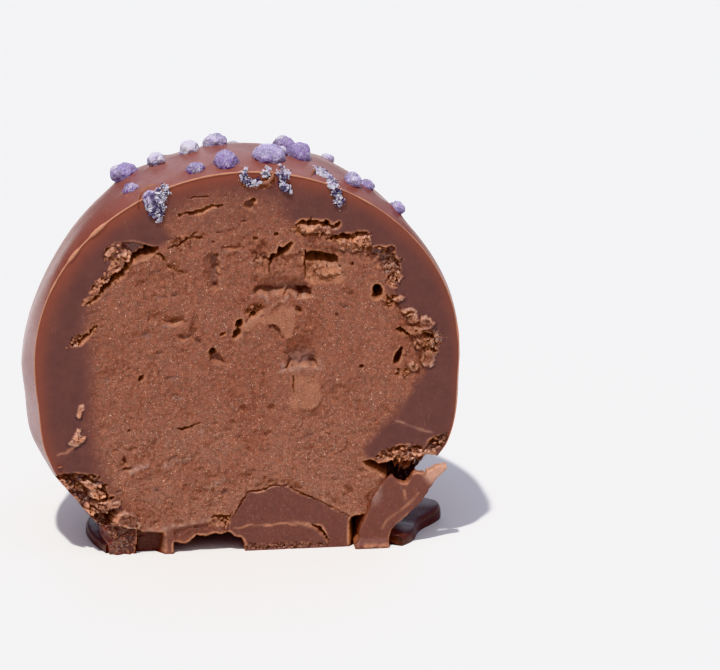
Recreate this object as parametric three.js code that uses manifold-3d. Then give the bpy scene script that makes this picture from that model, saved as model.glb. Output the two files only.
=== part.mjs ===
// A milk chocolate bonbon with a ganache filling, cut through in front of its axis. The larger piece stands
// on its base with the cut facing -Y. The cut shows the thick shell, the filling, the plug of chocolate that
// closes the shell from below, and the coat that runs under the plug. The knife has broken the base: a chip of
// the wall stands out on the right, the heel on the left is crumbled, and a piece of the coat is missing
// between them. Violet sugar crystals are set into the top, and some are cut through with the rest.
//
// Millimetres, +Z up. The origin is on the base, on the bonbon's own axis, behind the cut.

import * as THREE from "three";
import { mergeVertices } from "three/addons/utils/BufferGeometryUtils.js";
import Module from "manifold-3d";

const wasm = await Module();
wasm.setup();

// ---- Driving dimensions ----------------------------------------------------------------------------------

// girth is the height of the widest place, with an oval of the height rise above it and of drop below it.
const dome = { radius: 15, girth: 13.9, rise: 14.15, drop: 17 };
const foot = { radius: 10.2, height: 0.9, edge: 0.25 };
const pool = { reach: 4, turn: 19, spread: 15 }; // chocolate that ran out of the foot: angles in degrees
const cavity = { radius: 11.9, girth: 13.4, rise: 11.5, drop: 14.6, floor: 2.1 };
const plug = { x: 2.9, radius: 5.75, floor: 1.2, rise: 4.7 };
const coat = { x: 1.6, radius: 7.5, top: 3.3 };
const cutOffset = 3.9; // from the axis to the cut
const unevenness = 0.009; // of a radius, all round
const gap = 0.15; // between neighbouring pieces
const overrun = 2; // how far a cutting solid runs past what it cuts

// What the knife broke, as outlines of [x, z] on the cut.
const chip = {
  depth: 4.4,
  moved: [0.3, -0.4, 0],
  outline: [
    [7.5, -overrun], [7.5, 0], [7.8, 1.8], [8.4, 3.4], [8.9, 4.9], [9.8, 5.6], [10.6, 5.1],
    [11.4, 5.7], [12.2, 5.4], [13.4, 6.3], [16, 6.5], [16, -overrun],
  ],
};
const breaks = [
  // above the chip
  { depth: 4.6, outline: [[8, 6.3], [9.6, 6.4], [11.2, 7.3], [16, 8.6], [16, 4.6], [9, 4.6]] },
  // beside the plug
  { depth: 3.4, outline: [[6.7, -overrun], [6.9, 2], [7.2, 2.6], [7.6, 1.8], [7.6, -overrun]] },
  // under the coat
  { depth: 3.6, outline: [[-5.2, -overrun], [-5.1, 0.4], [-3.4, 0.9], [-1.3, 0.8], [-0.8, -overrun]] },
  // inside the heel
  { depth: 1.5, outline: [[-7.7, -overrun], [-7.7, 2.2], [-5.9, 2], [-5.9, -overrun]] },
];
const heel = { from: [-12.5, 6], to: [-8.7, 1], bites: 7, size: 0.85 };

// Hollows that the knife tore in the filling: x and z on the cut, width, height, depth and tilt in degrees.
const hollows = [
  { x: -8.8, z: 20.3, width: 6.2, height: 0.9, depth: 1.6, tilt: 37 },
  { x: 5.2, z: 22.9, width: 3.2, height: 0.7, depth: 1.5, tilt: -6 },
  { x: 5.1, z: 21, width: 2.4, height: 0.8, depth: 1.4, tilt: -8 },
  { x: 8.9, z: 18.4, width: 0.8, height: 1.3, depth: 1.5, tilt: 0 },
  { x: 2.2, z: 18.8, width: 3.6, height: 1.2, depth: 1.1, tilt: -4 },
  { x: -0.7, z: 16.5, width: 0.9, height: 1.5, depth: 1.4, tilt: -30 },
  { x: -2.3, z: 13.8, width: 0.7, height: 0.9, depth: 1.1, tilt: 40 },
  { x: 4, z: 14.2, width: 1.9, height: 2.4, depth: 0.9, tilt: 10 },
  { x: -2.4, z: 19.8, width: 0.8, height: 2.6, depth: 0.8, tilt: 0 },
];

// Crystals seen from the cut: x and y of the place on the dome, and the size.
const frontCrystals = [
  [-8, 2.2, 2.1], [-7.9, -1.7, 1.2], [-5.9, 0.9, 1.2], [-3.4, 1.2, 1.4], [-1.6, 1.9, 1.5], [-3.6, -2.7, 1.2],
  [-1.4, -2.5, 1.8], [1.8, -1.7, 2], [3.9, -0.4, 2], [7.5, -2.1, 1.4], [8.9, -0.9, 1.2], [10.8, -1.5, 1.1],
];
// Crystals that the knife went through: x, how deep the middle lies under the rim, width and height.
const cutCrystals = [
  [-6.3, 0.6, 1.7, 2.2], [-0.2, 0.5, 1, 0.9], [2.5, 0.4, 1.3, 1.6], [5.8, 0.5, 1.3, 2.4],
];
const rearCrystals = { count: 11, nearest: 2.6, spread: 0.62, sizes: [1, 2] };

// ---- Materials -------------------------------------------------------------------------------------------

const chocolate = new THREE.MeshStandardMaterial({ color: 0x6e3b30, roughness: 0.42, metalness: 0 });
const ganache = new THREE.MeshStandardMaterial({ color: 0x8d5340, roughness: 0.75, metalness: 0 });
const violetSugar = new THREE.MeshStandardMaterial({ color: 0x7c68b8, roughness: 0.25, metalness: 0 });

// ---- Tools -----------------------------------------------------------------------------------------------

// A closed geometry as a manifold-3d solid.
function solidOf(geometry) {
  const bare = geometry.clone().deleteAttribute("normal").deleteAttribute("uv");
  const merged = mergeVertices(bare, 1e-4);
  return new wasm.Manifold(
    new wasm.Mesh({
      numProp: 3,
      vertProperties: merged.attributes.position.array,
      triVerts: new Uint32Array(merged.index.array),
    }),
  );
}

// A manifold-3d solid as a named mesh.
function meshOf(name, solid, material) {
  const { numProp, numVert, vertProperties, triVerts } = solid.getMesh();
  const positions = new Float32Array(numVert * 3);
  for (let i = 0; i < numVert; i++) {
    positions.set(vertProperties.subarray(i * numProp, i * numProp + 3), i * 3);
  }
  const geometry = new THREE.BufferGeometry();
  geometry.setAttribute("position", new THREE.BufferAttribute(positions, 3));
  geometry.setIndex(new THREE.BufferAttribute(new Uint32Array(triVerts), 1));
  geometry.computeVertexNormals();
  const mesh = new THREE.Mesh(geometry, material);
  mesh.name = name;
  return mesh;
}

// A closed profile of [radius, height] points turned about +Z.
function turned(profile, segments) {
  const points = profile.map(([radius, height]) => new THREE.Vector2(radius, height));
  return new THREE.LatheGeometry(points, segments).rotateX(Math.PI / 2);
}

// An outline of [x, z] points on the cut, running back from in front of the cut to `depth` behind it.
function prism(outline, depth) {
  const shape = new THREE.Shape(outline.map(([x, z]) => new THREE.Vector2(x, z)));
  const length = depth + overrun;
  const geometry = new THREE.ExtrudeGeometry(shape, { depth: length, bevelEnabled: false });
  return solidOf(geometry.rotateX(Math.PI / 2).translate(0, depth - cutOffset, 0));
}

// A repeatable number from 0 to 1.
function chance(seed, step) {
  const wave = Math.sin(seed * 12.9898 + step * 78.233) * 43758.5453;
  return wave - Math.floor(wave);
}

// An uneven lump about 2 across. A detail of 0 gives 20 faces, and 1 gives 80.
function lump(seed, detail, roughness) {
  const ball = new THREE.IcosahedronGeometry(1, detail).deleteAttribute("normal").deleteAttribute("uv");
  const geometry = mergeVertices(ball, 1e-4);
  const place = geometry.attributes.position;
  for (let i = 0; i < place.count; i++) {
    const reach = 1 + roughness * (2 * chance(seed, i) - 1);
    place.setXYZ(i, place.getX(i) * reach, place.getY(i) * reach, place.getZ(i) * reach);
  }
  return geometry;
}

// ---- The bonbon's form -----------------------------------------------------------------------------------

// How much wider than its mean the hand-made form is in the direction of x, y.
function swellAt(x, y) {
  const turn = Math.atan2(y, x);
  return 1 + unevenness * (Math.sin(2 * turn + 0.7) + 0.6 * Math.sin(3 * turn + 2.1));
}

function handMade(geometry) {
  const place = geometry.attributes.position;
  for (let i = 0; i < place.count; i++) {
    const swell = swellAt(place.getX(i), place.getY(i));
    place.setXY(i, place.getX(i) * swell, place.getY(i) * swell);
  }
  return geometry;
}

// Points up one side of an upright oval, from the height `low` to its top on the axis.
function ovalSide({ radius, girth, rise, drop }, low, steps) {
  const start = Math.asin((low - girth) / (low < girth ? drop : rise));
  const points = [];
  for (let i = 0; i < steps; i++) {
    const angle = start + ((Math.PI / 2 - start) * i) / steps;
    points.push([radius * Math.cos(angle), girth + (angle < 0 ? drop : rise) * Math.sin(angle)]);
  }
  points.push([0, girth + rise]);
  return points;
}

// The whole bonbon before the cut: the dome on its foot of pooled chocolate.
function wholeBonbon() {
  const profile = [
    [0, 0],
    [foot.radius - foot.edge, 0],
    [foot.radius, foot.edge],
    [foot.radius, foot.height - foot.edge],
    ...ovalSide(dome, foot.height, 18),
  ];
  return solidOf(runOut(handMade(turned(profile, 64))));
}

// Draws the foot's edge out to one side, where chocolate ran before it set.
function runOut(geometry) {
  const place = geometry.attributes.position;
  for (let i = 0; i < place.count; i++) {
    const [x, y] = [place.getX(i), place.getY(i)];
    const fromCentre = Math.hypot(x, y);
    if (place.getZ(i) > foot.height - foot.edge / 2 || fromCentre < foot.edge) continue;
    const off = (THREE.MathUtils.radToDeg(Math.atan2(y, x)) - pool.turn) / pool.spread;
    const drawn = 1 + (pool.reach * Math.exp(-off * off)) / fromCentre;
    place.setXY(i, x * drawn, y * drawn);
  }
  return geometry;
}

// The room inside the shell, less a margin all round.
function room(margin) {
  const { radius, girth, rise, drop, floor } = cavity;
  const oval = { radius: radius - margin, girth, rise: rise - margin, drop };
  const low = floor + margin;
  return solidOf(handMade(turned([[0, low], ...ovalSide(oval, low, 12)], 48)));
}

// The plug's mound, grown by a margin all round.
function mound(margin) {
  const low = plug.floor - margin;
  const oval = { radius: plug.radius + margin, girth: low, rise: plug.rise + 2 * margin, drop: 1 };
  return solidOf(turned([[0, low], ...ovalSide(oval, low, 8)], 32).translate(plug.x, 0, 0));
}

// The bulge of the coat under the plug, grown by a margin: the top of a ball.
function coatBulge(margin) {
  const radius = coat.radius + margin;
  const oval = { radius, girth: coat.top - coat.radius, rise: radius, drop: radius };
  return solidOf(turned([[0, 0], ...ovalSide(oval, 0, 6)], 32).translate(coat.x, 0, 0));
}

// What lies behind the cut.
function behindCut() {
  const size = 4 * dome.radius;
  return solidOf(new THREE.BoxGeometry(size, size, size).translate(0, size / 2 - cutOffset, 0));
}

// ---- The pieces ------------------------------------------------------------------------------------------

// The crumbled edge of the heel: uneven bites along a line on the cut.
function heelBites() {
  const bites = [];
  for (let i = 0; i < heel.bites; i++) {
    const along = i / (heel.bites - 1);
    const x = THREE.MathUtils.lerp(heel.from[0], heel.to[0], along);
    const z = THREE.MathUtils.lerp(heel.from[1], heel.to[1], along);
    const size = heel.size * (0.8 + 0.5 * chance(3, i));
    const bite = lump(40 + i, 1, 0.25).scale(size, 0.7 * size, size);
    bites.push(solidOf(bite.translate(x, -cutOffset, z)));
  }
  return bites;
}

function makeShell(bonbon, behind, crystalSeats) {
  const inside = room(0).add(mound(gap)).subtract(coatBulge(0));
  let shell = bonbon.intersect(behind).subtract(inside).subtract(prism(chip.outline, chip.depth + gap));
  for (const { outline, depth } of breaks) shell = shell.subtract(prism(outline, depth));
  for (const bite of heelBites()) shell = shell.subtract(bite);
  for (const seat of crystalSeats) shell = shell.subtract(seat);
  return shell;
}

function makeFilling(behind) {
  const chipRoom = prism(chip.outline, chip.depth + gap);
  let filling = room(gap).intersect(behind).subtract(mound(2 * gap)).subtract(chipRoom);
  hollows.forEach(({ x, z, width, height, depth, tilt }, i) => {
    const tear = lump(60 + i, 1, 0.16).scale(width / 2, depth, height / 2);
    tear.rotateY(-THREE.MathUtils.degToRad(tilt)).translate(x, -cutOffset, z);
    filling = filling.subtract(solidOf(tear));
  });
  return filling;
}

function makePlug(behind) {
  return mound(0).intersect(behind).subtract(coatBulge(gap));
}

// The chip keeps the wall's own form and has moved outwards.
function makeChip(bonbon, behind) {
  const wall = bonbon.intersect(behind).subtract(room(0)).subtract(mound(gap));
  return wall.intersect(prism(chip.outline, chip.depth)).translate(chip.moved);
}

// The height of the dome above the place x, y.
function domeHeight(x, y) {
  const share = Math.hypot(x, y) / (dome.radius * swellAt(x, y));
  return dome.girth + dome.rise * Math.sqrt(1 - share * share);
}

// The middles, widths, depths and heights of all crystals.
function crystalPlaces() {
  const places = frontCrystals.map(([x, y, size]) => ({ x, y, width: size, height: 0.85 * size, sunk: 0 }));
  for (const [x, sunk, width, height] of cutCrystals) {
    places.push({ x, y: -cutOffset, width, height, sunk });
  }
  for (let i = 0; i < rearCrystals.count; i++) {
    const turn = Math.PI * (0.06 + 0.88 * ((i * rearCrystals.spread) % 1));
    const reach = rearCrystals.nearest + 6.4 * Math.sqrt((i + 0.5) / rearCrystals.count);
    const [small, large] = rearCrystals.sizes;
    const size = THREE.MathUtils.lerp(small, large, chance(7, i));
    const [x, y] = [reach * Math.cos(turn), 1.6 + reach * Math.sin(turn)];
    places.push({ x, y, width: size, height: 0.8 * size, sunk: 0 });
  }
  return places;
}

// A crystal and the seat that it leaves in the shell.
function makeCrystal({ x, y, width, height, sunk }, index, behind) {
  const z = domeHeight(x, y) + 0.2 * height * (sunk ? 0 : 1) - sunk;
  const grown = (margin) => {
    const stone = lump(100 + index, 0, 0.2).rotateZ(index).rotateX(0.7 * index);
    stone.scale(width / 2 + margin, width / 2 + margin, height / 2 + margin);
    return solidOf(stone.translate(x, y, z));
  };
  return { stone: grown(0).intersect(behind), seat: grown(gap) };
}

// ---- Assembly --------------------------------------------------------------------------------------------

const bonbon = wholeBonbon();
const behind = behindCut();
const crystals = crystalPlaces().map((place, index) => makeCrystal(place, index, behind));

const object = new THREE.Group();
object.add(meshOf("shell", makeShell(bonbon, behind, crystals.map(({ seat }) => seat)), chocolate));
object.add(meshOf("filling", makeFilling(behind), ganache));
object.add(meshOf("base_plug", makePlug(behind), chocolate));
object.add(meshOf("broken_chip", makeChip(bonbon, behind), chocolate));
crystals.forEach(({ stone }, index) => {
  object.add(meshOf(`crystal_${String(index + 1).padStart(2, "0")}`, stone, violetSugar));
});

export default object;
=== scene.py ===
"""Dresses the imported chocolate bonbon: its glossy coat, the knife's cut through shell and ganache, the broken
base, and the violet sugar crystals on the top. Sizes here are in millimetres unless a name says metres."""
from __future__ import annotations

import logging
import math
from collections.abc import Callable
from dataclasses import dataclass, field
from enum import Enum

import bpy
import numpy as np
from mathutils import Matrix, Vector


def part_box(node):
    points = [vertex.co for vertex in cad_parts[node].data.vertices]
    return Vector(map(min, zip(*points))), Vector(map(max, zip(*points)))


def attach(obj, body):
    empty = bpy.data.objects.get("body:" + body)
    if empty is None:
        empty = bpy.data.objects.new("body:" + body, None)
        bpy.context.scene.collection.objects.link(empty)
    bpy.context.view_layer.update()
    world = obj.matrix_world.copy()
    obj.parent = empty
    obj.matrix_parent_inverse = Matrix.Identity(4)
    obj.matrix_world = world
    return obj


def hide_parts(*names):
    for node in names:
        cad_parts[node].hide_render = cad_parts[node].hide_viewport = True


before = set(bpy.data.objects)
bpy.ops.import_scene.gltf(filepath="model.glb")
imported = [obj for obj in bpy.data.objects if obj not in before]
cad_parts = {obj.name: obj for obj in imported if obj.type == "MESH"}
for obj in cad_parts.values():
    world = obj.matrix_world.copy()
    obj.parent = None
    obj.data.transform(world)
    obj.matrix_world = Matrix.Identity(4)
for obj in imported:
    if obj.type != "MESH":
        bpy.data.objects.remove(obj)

import openvdb
from mathutils import Euler, Vector

MM = 0.001  # metres in a millimetre
LOG = logging.getLogger("bonbon")
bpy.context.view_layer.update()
FAR = 9.0  # a distance beyond all that it is compared with

Path = tuple[tuple[float, float], ...]
Window = tuple[slice, slice]
Colour = tuple[float, float, float]
Place = tuple[float, float, float]
Outside = Callable[[np.ndarray, np.ndarray, np.ndarray], np.ndarray]
Material = bpy.types.Material
Node = bpy.types.Node
Socket = bpy.types.NodeSocket


# ---- Repeatable noise ------------------------------------------------------------------------------------


def chance(ix: np.ndarray, iy: np.ndarray, iz: np.ndarray, seed: int) -> np.ndarray:
    """Gives each whole-number place a repeatable number.

    Args:
        ix, iy, iz: whole numbers, as arrays of one shape.
        seed: picks another set of numbers.

    Returns:
        Numbers from 0 to 1.
    """
    mixed = (ix * 374761393 + iy * 668265263 + iz * 2147483629 + seed * 3266489917) & 0xFFFFFFFF
    mixed = ((mixed ^ (mixed >> 15)) * 2246822519) & 0xFFFFFFFF
    mixed = ((mixed ^ (mixed >> 13)) * 3266489917) & 0xFFFFFFFF
    return (mixed ^ (mixed >> 16)) / 4294967295.0


def cloud(place: np.ndarray, size: float | Place, seed: int) -> np.ndarray:
    """Smooth noise.

    Args:
        place: points, with x, y and z along the last axis.
        size: the size of a lump, one for all or one along each axis.
        seed: picks another cloud.

    Returns:
        Numbers from -1 to 1.
    """
    scaled = place / np.asarray(size, float)
    cell = np.floor(scaled).astype(np.int64)
    part = scaled - cell
    part = part * part * (3 - 2 * part)
    total = np.zeros(place.shape[:-1])
    for corner in range(8):
        step = [(corner >> axis) & 1 for axis in range(3)]
        share = np.prod([part[..., a] if step[a] else 1 - part[..., a] for a in range(3)], axis=0)
        total += share * chance(*(cell[..., a] + step[a] for a in range(3)), seed)
    return 2 * total - 1


def crumple(place: np.ndarray, size: float, seed: int, octaves: int = 3, gain: float = 0.55) -> np.ndarray:
    """Clouds on clouds, each half the size of the last, from about -1 to 1."""
    total, weight = np.zeros(place.shape[:-1]), 0.0
    for octave in range(octaves):
        total += gain**octave * cloud(place, size / 2**octave, seed + 17 * octave)
        weight += gain**octave
    return total / weight


def pebbles(place: np.ndarray, size: float, seed: int) -> tuple[np.ndarray, ...]:
    """Packed grains.

    Args:
        place: points, with x, y and z along the last axis.
        size: the mean distance from grain to grain.
        seed: picks another packing.

    Returns:
        For each point the distance to its grain's middle and how much farther the next grain is, both in
        grain sizes, the grain's own number from 0 to 1, and a height on the grain, which leans its own way.
    """
    scaled = place / size
    cell = np.floor(scaled).astype(np.int64)
    first, second = np.full(place.shape[:-1], FAR), np.full(place.shape[:-1], FAR)
    own, lean = 0 * first, 0 * first
    flat = np.ptp(place[..., 1]) == 0
    for corner in range(27):
        step = [corner // 3**axis % 3 - 1 for axis in range(3)]
        if flat and step[1]:
            continue
        there = [cell[..., a] + step[a] for a in range(3)]
        dice = [chance(*there, seed + a) for a in range(3)]
        apart = [(there[a] + dice[a] - scaled[..., a]) * (0.0 if flat and a == 1 else 1.0) for a in range(3)]
        distance = np.sqrt(apart[0] ** 2 + apart[1] ** 2 + apart[2] ** 2)
        nearer = distance < first
        second = np.where(nearer, first, np.minimum(second, distance))
        own = np.where(nearer, (7.13 * (dice[0] + dice[2])) % 1, own)
        tilt = apart[0] * (2 * ((11.7 * dice[0]) % 1) - 1) + apart[2] * (2 * ((13.3 * dice[2]) % 1) - 1)
        lean = np.where(nearer, tilt, lean)
        first = np.where(nearer, distance, first)
    return first, second - first, own, lean


def ease(value: np.ndarray, start: float | np.ndarray, end: float | np.ndarray) -> np.ndarray:
    """Goes smoothly from 0 at `start` to 1 at `end`, which may be the lower of the two."""
    share = np.clip((value - start) / (end - start + 1e-12), 0, 1)
    return share * share * (3 - 2 * share)


# ---- Meshes ----------------------------------------------------------------------------------------------


@dataclass
class Skin:
    """A mesh in the making, in millimetres."""

    points: np.ndarray
    faces: list[tuple[int, ...]] = field(default_factory=list)
    masks: dict[str, np.ndarray] = field(default_factory=dict)

    @classmethod
    def merged(cls, parts: list[Skin]) -> Skin:
        """Returns several meshes as one, with the masks that the first one has."""
        faces, start = [], 0
        for part in parts:
            faces += [tuple(i + start for i in face) for face in part.faces]
            start += len(part.points)
        masks = {}
        for name in parts[0].masks:
            masks[name] = np.concatenate([part.masks.get(name, np.zeros(len(part.points))) for part in parts])
        return cls(np.concatenate([part.points for part in parts]), faces, masks)

    def made(self, name: str, finish: Material, smooth: bool = True) -> bpy.types.Object:
        """Makes the Blender object.

        Args:
            name: the object's name.
            finish: its material.
            smooth: False leaves every face flat.

        Returns:
            The object, linked to the scene.
        """
        mesh = bpy.data.meshes.new(name)
        mesh.from_pydata((self.points * MM).tolist(), [], self.faces)
        for mask, values in self.masks.items():
            layer = mesh.attributes.new(mask, "FLOAT", "POINT")
            layer.data.foreach_set("value", np.asarray(values, np.float32))
        mesh.polygons.foreach_set("use_smooth", [smooth] * len(mesh.polygons))
        mesh.materials.append(finish)
        mesh.update()
        piece = bpy.data.objects.new(name, mesh)
        bpy.context.scene.collection.objects.link(piece)
        return piece


def ball(detail: int) -> tuple[np.ndarray, list[tuple[int, int, int]]]:
    """Returns the corners and faces of a round ball of triangles, each split in four `detail` times."""
    golden = (1 + math.sqrt(5)) / 2
    corners = [(-1, golden, 0), (1, golden, 0), (-1, -golden, 0), (1, -golden, 0)]
    corners += [(0, -1, golden), (0, 1, golden), (0, -1, -golden), (0, 1, -golden)]
    corners += [(golden, 0, -1), (golden, 0, 1), (-golden, 0, -1), (-golden, 0, 1)]
    faces = [(0, 11, 5), (0, 5, 1), (0, 1, 7), (0, 7, 10), (0, 10, 11), (1, 5, 9), (5, 11, 4), (11, 10, 2)]
    faces += [(10, 7, 6), (7, 1, 8), (3, 9, 4), (3, 4, 2), (3, 2, 6), (3, 6, 8), (3, 8, 9), (4, 9, 5)]
    faces += [(2, 4, 11), (6, 2, 10), (8, 6, 7), (9, 8, 1)]
    points = [Vector(corner).normalized() for corner in corners]
    for _ in range(detail):
        middles: dict[tuple[int, int], int] = {}
        finer = []
        for a, b, c in faces:
            ids = []
            for pair in ((a, b), (b, c), (c, a)):
                key = (min(pair), max(pair))
                if key not in middles:
                    middles[key] = len(points)
                    points.append((points[pair[0]] + points[pair[1]]).normalized())
                ids.append(middles[key])
            finer += [(a, ids[0], ids[2]), (b, ids[1], ids[0]), (c, ids[2], ids[1]), tuple(ids)]
        faces = finer
    return np.array([tuple(point) for point in points]), faces


def unit(ways: np.ndarray) -> np.ndarray:
    """Returns directions, N by 3, with a length of 1."""
    return ways / np.linalg.norm(ways, axis=1)[:, None]


def walked(loop: np.ndarray) -> np.ndarray:
    """Returns how far along a closed loop each of its points lies, from 0 to below 1."""
    steps = np.linalg.norm(np.roll(loop, -1, axis=0) - loop, axis=1)
    return np.concatenate([[0], np.cumsum(steps)[:-1]]) / steps.sum()


def zipped(outer: np.ndarray, inner: np.ndarray, start: int, other: int) -> list[tuple[int, int, int]]:
    """Closes the strip between two loops that start at the same place, with triangles.

    Args:
        outer, inner: how far along its loop each point lies.
        start, other: the first point's number in each loop.

    Returns:
        The triangles.
    """
    faces, i, j = [], 0, 0
    m, n = len(outer), len(inner)
    while i < m or j < n:
        ahead = outer[i + 1] if i + 1 < m else 1 + outer[(i + 1) % m]
        beside = inner[j + 1] if j + 1 < n else 1 + inner[(j + 1) % n]
        if j >= n or (i < m and ahead <= beside):
            faces.append((start + i % m, start + (i + 1) % m, other + j % n))
            i += 1
        else:
            faces.append((start + i % m, other + (j + 1) % n, other + j % n))
            j += 1
    return faces


# ---- The bonbon's form -----------------------------------------------------------------------------------


def box_mm(node: str) -> tuple[np.ndarray, np.ndarray]:
    """Returns the low and the high corner of a node's box, in millimetres."""
    low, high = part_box(node)
    return np.array(low) / MM, np.array(high) / MM


class Oval:
    """An upright oval of revolution, whose upper and lower half differ in height."""

    def __init__(self, radius: float, girth: float, rise: float, drop: float) -> None:
        """Takes the greatest radius, the height of that girth, and the heights above and below it."""
        self.radius, self.girth, self.rise, self.drop = radius, girth, rise, drop

    def radius_at(self, z: np.ndarray) -> np.ndarray:
        """Returns the radius at a height, and a little below zero beyond the ends."""
        share = (z - self.girth) / np.where(z < self.girth, self.drop, self.rise)
        beyond = np.clip(np.abs(share) - 1, 0, None)
        return self.radius * np.sqrt(np.clip(1 - share * share, 0, None)) - 1e-3 * beyond

    def outside(self, x: np.ndarray, y: np.ndarray, z: np.ndarray) -> np.ndarray:
        """Returns about how far outside the oval a point lies, in millimetres, and less than 0 inside it."""
        wide = np.hypot(x, y) / (self.radius * swell_at(x, y))
        tall = (z - self.girth) / np.where(z < self.girth, self.drop, self.rise)
        return (np.sqrt(wide * wide + tall * tall) - 1) * self.radius


UNEVENNESS = 0.009


def swell_at(x: np.ndarray, y: np.ndarray) -> np.ndarray:
    """Returns how much wider than its mean the hand-made form is in the direction of x, y."""
    turn = np.arctan2(y, x)
    return 1 + UNEVENNESS * (np.sin(2 * turn + 0.7) + 0.6 * np.sin(3 * turn + 2.1))


@dataclass
class Form:
    """The bonbon's main shapes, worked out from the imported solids."""

    cut: float = 0.0
    dome: Oval = field(init=False)
    room: Oval = field(init=False)
    mound: Oval = field(init=False)
    mound_x: float = field(init=False)
    floor: float = 2.1
    foot_radius: float = 10.2
    foot_height: float = 0.9
    coat_x: float = 1.6
    coat_top: float = 2.25
    coat_radius: float = 6.4

    def __post_init__(self) -> None:
        """Reads the frame's boxes and fits the ovals to them."""
        low, high = box_mm("shell")
        plug_low, plug_high = box_mm("base_plug")
        self.cut = float(box_mm("filling")[0][1])
        sides = swell_at(np.array([1.0, -1.0]), np.array([0.0, 0.0])).mean()
        radius = float(high[0] - low[0]) / 2 / sides
        top = float(high[2])
        self.dome = Oval(radius, 0.4955 * top, 0.5045 * top, 1.133 * radius)
        self.room = Oval(radius=11.9, girth=13.4, rise=11.5, drop=14.6)
        self.mound_x = float(plug_low[0] + plug_high[0]) / 2
        self.mound = Oval(radius=float(plug_high[1]), girth=1.2, rise=4.7, drop=1.0)
        LOG.info("cut at %.2f, dome radius %.2f, top %.2f", self.cut, radius, top)

    def outline(self, x: np.ndarray, y: float | np.ndarray, z: np.ndarray) -> np.ndarray:
        """Returns about how far outside the whole bonbon a point lies, the foot included."""
        y = np.broadcast_to(y, x.shape)
        dome = self.dome.outside(x, y, z)
        across = np.hypot(x, y) - self.foot_radius * swell_at(x, y)
        corner, blended = 0.25, 0.5
        above = np.abs(z - self.foot_height / 2) - self.foot_height / 2
        foot = np.hypot(np.clip(across + corner, 0, None), np.clip(above + corner, 0, None)) - corner
        foot = np.where((across < -corner) & (above < -corner), np.maximum(across, above), foot)
        blend = np.clip(0.5 + 0.5 * (foot - dome) / blended, 0, 1)
        both = foot * (1 - blend) + dome * blend - blended * blend * (1 - blend)
        return np.maximum(both, -z)

    def onto(self, x: float, z: float) -> np.ndarray:
        """Puts a place on the cut, or, where that is above the rim, slides it back and down onto the dome."""
        slope, back = 0.315, np.linspace(0, 3.5, 71)
        outside = self.outline(np.full(back.shape, x), self.cut + back, z - slope * back) > 0
        step = back[int(np.argmin(outside))]
        return np.array([x, self.cut + step, z - slope * step])

    def relaxed(self, points: np.ndarray) -> np.ndarray:
        """Lowers the top a little, slims the shoulders behind the cut and fills out the lower sides."""
        x, y, z = points.T
        slim = ease(y, self.cut, self.cut + 4.5) * np.sin(math.pi * np.clip((z - 13) / 17, 0, 1))
        moved = points.copy()
        moved[:, 0] = x * (1 - 0.05 * slim) - 0.15 * slim
        lower = 0.42 * ease(x, 10.5, 13) * ease(z, 12.5, 8) * ease(z, 5.5, 7.5)
        moved[:, 0] += lower - 0.42 * ease(x, -10.5, -13) * ease(z, 11.5, 7.5) * ease(z, 3.4, 6)
        side = ease(y, self.cut, self.cut + 3) * ease(x, -8, -12) * ease(z, 21, 13) * ease(z, 5, 9)
        moved[:, 0] -= 0.33 * side
        moved[:, 2] -= 0.36 * ease(z, 16, 27)
        return moved


# ---- What the knife did to the cut -----------------------------------------------------------------------


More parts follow.
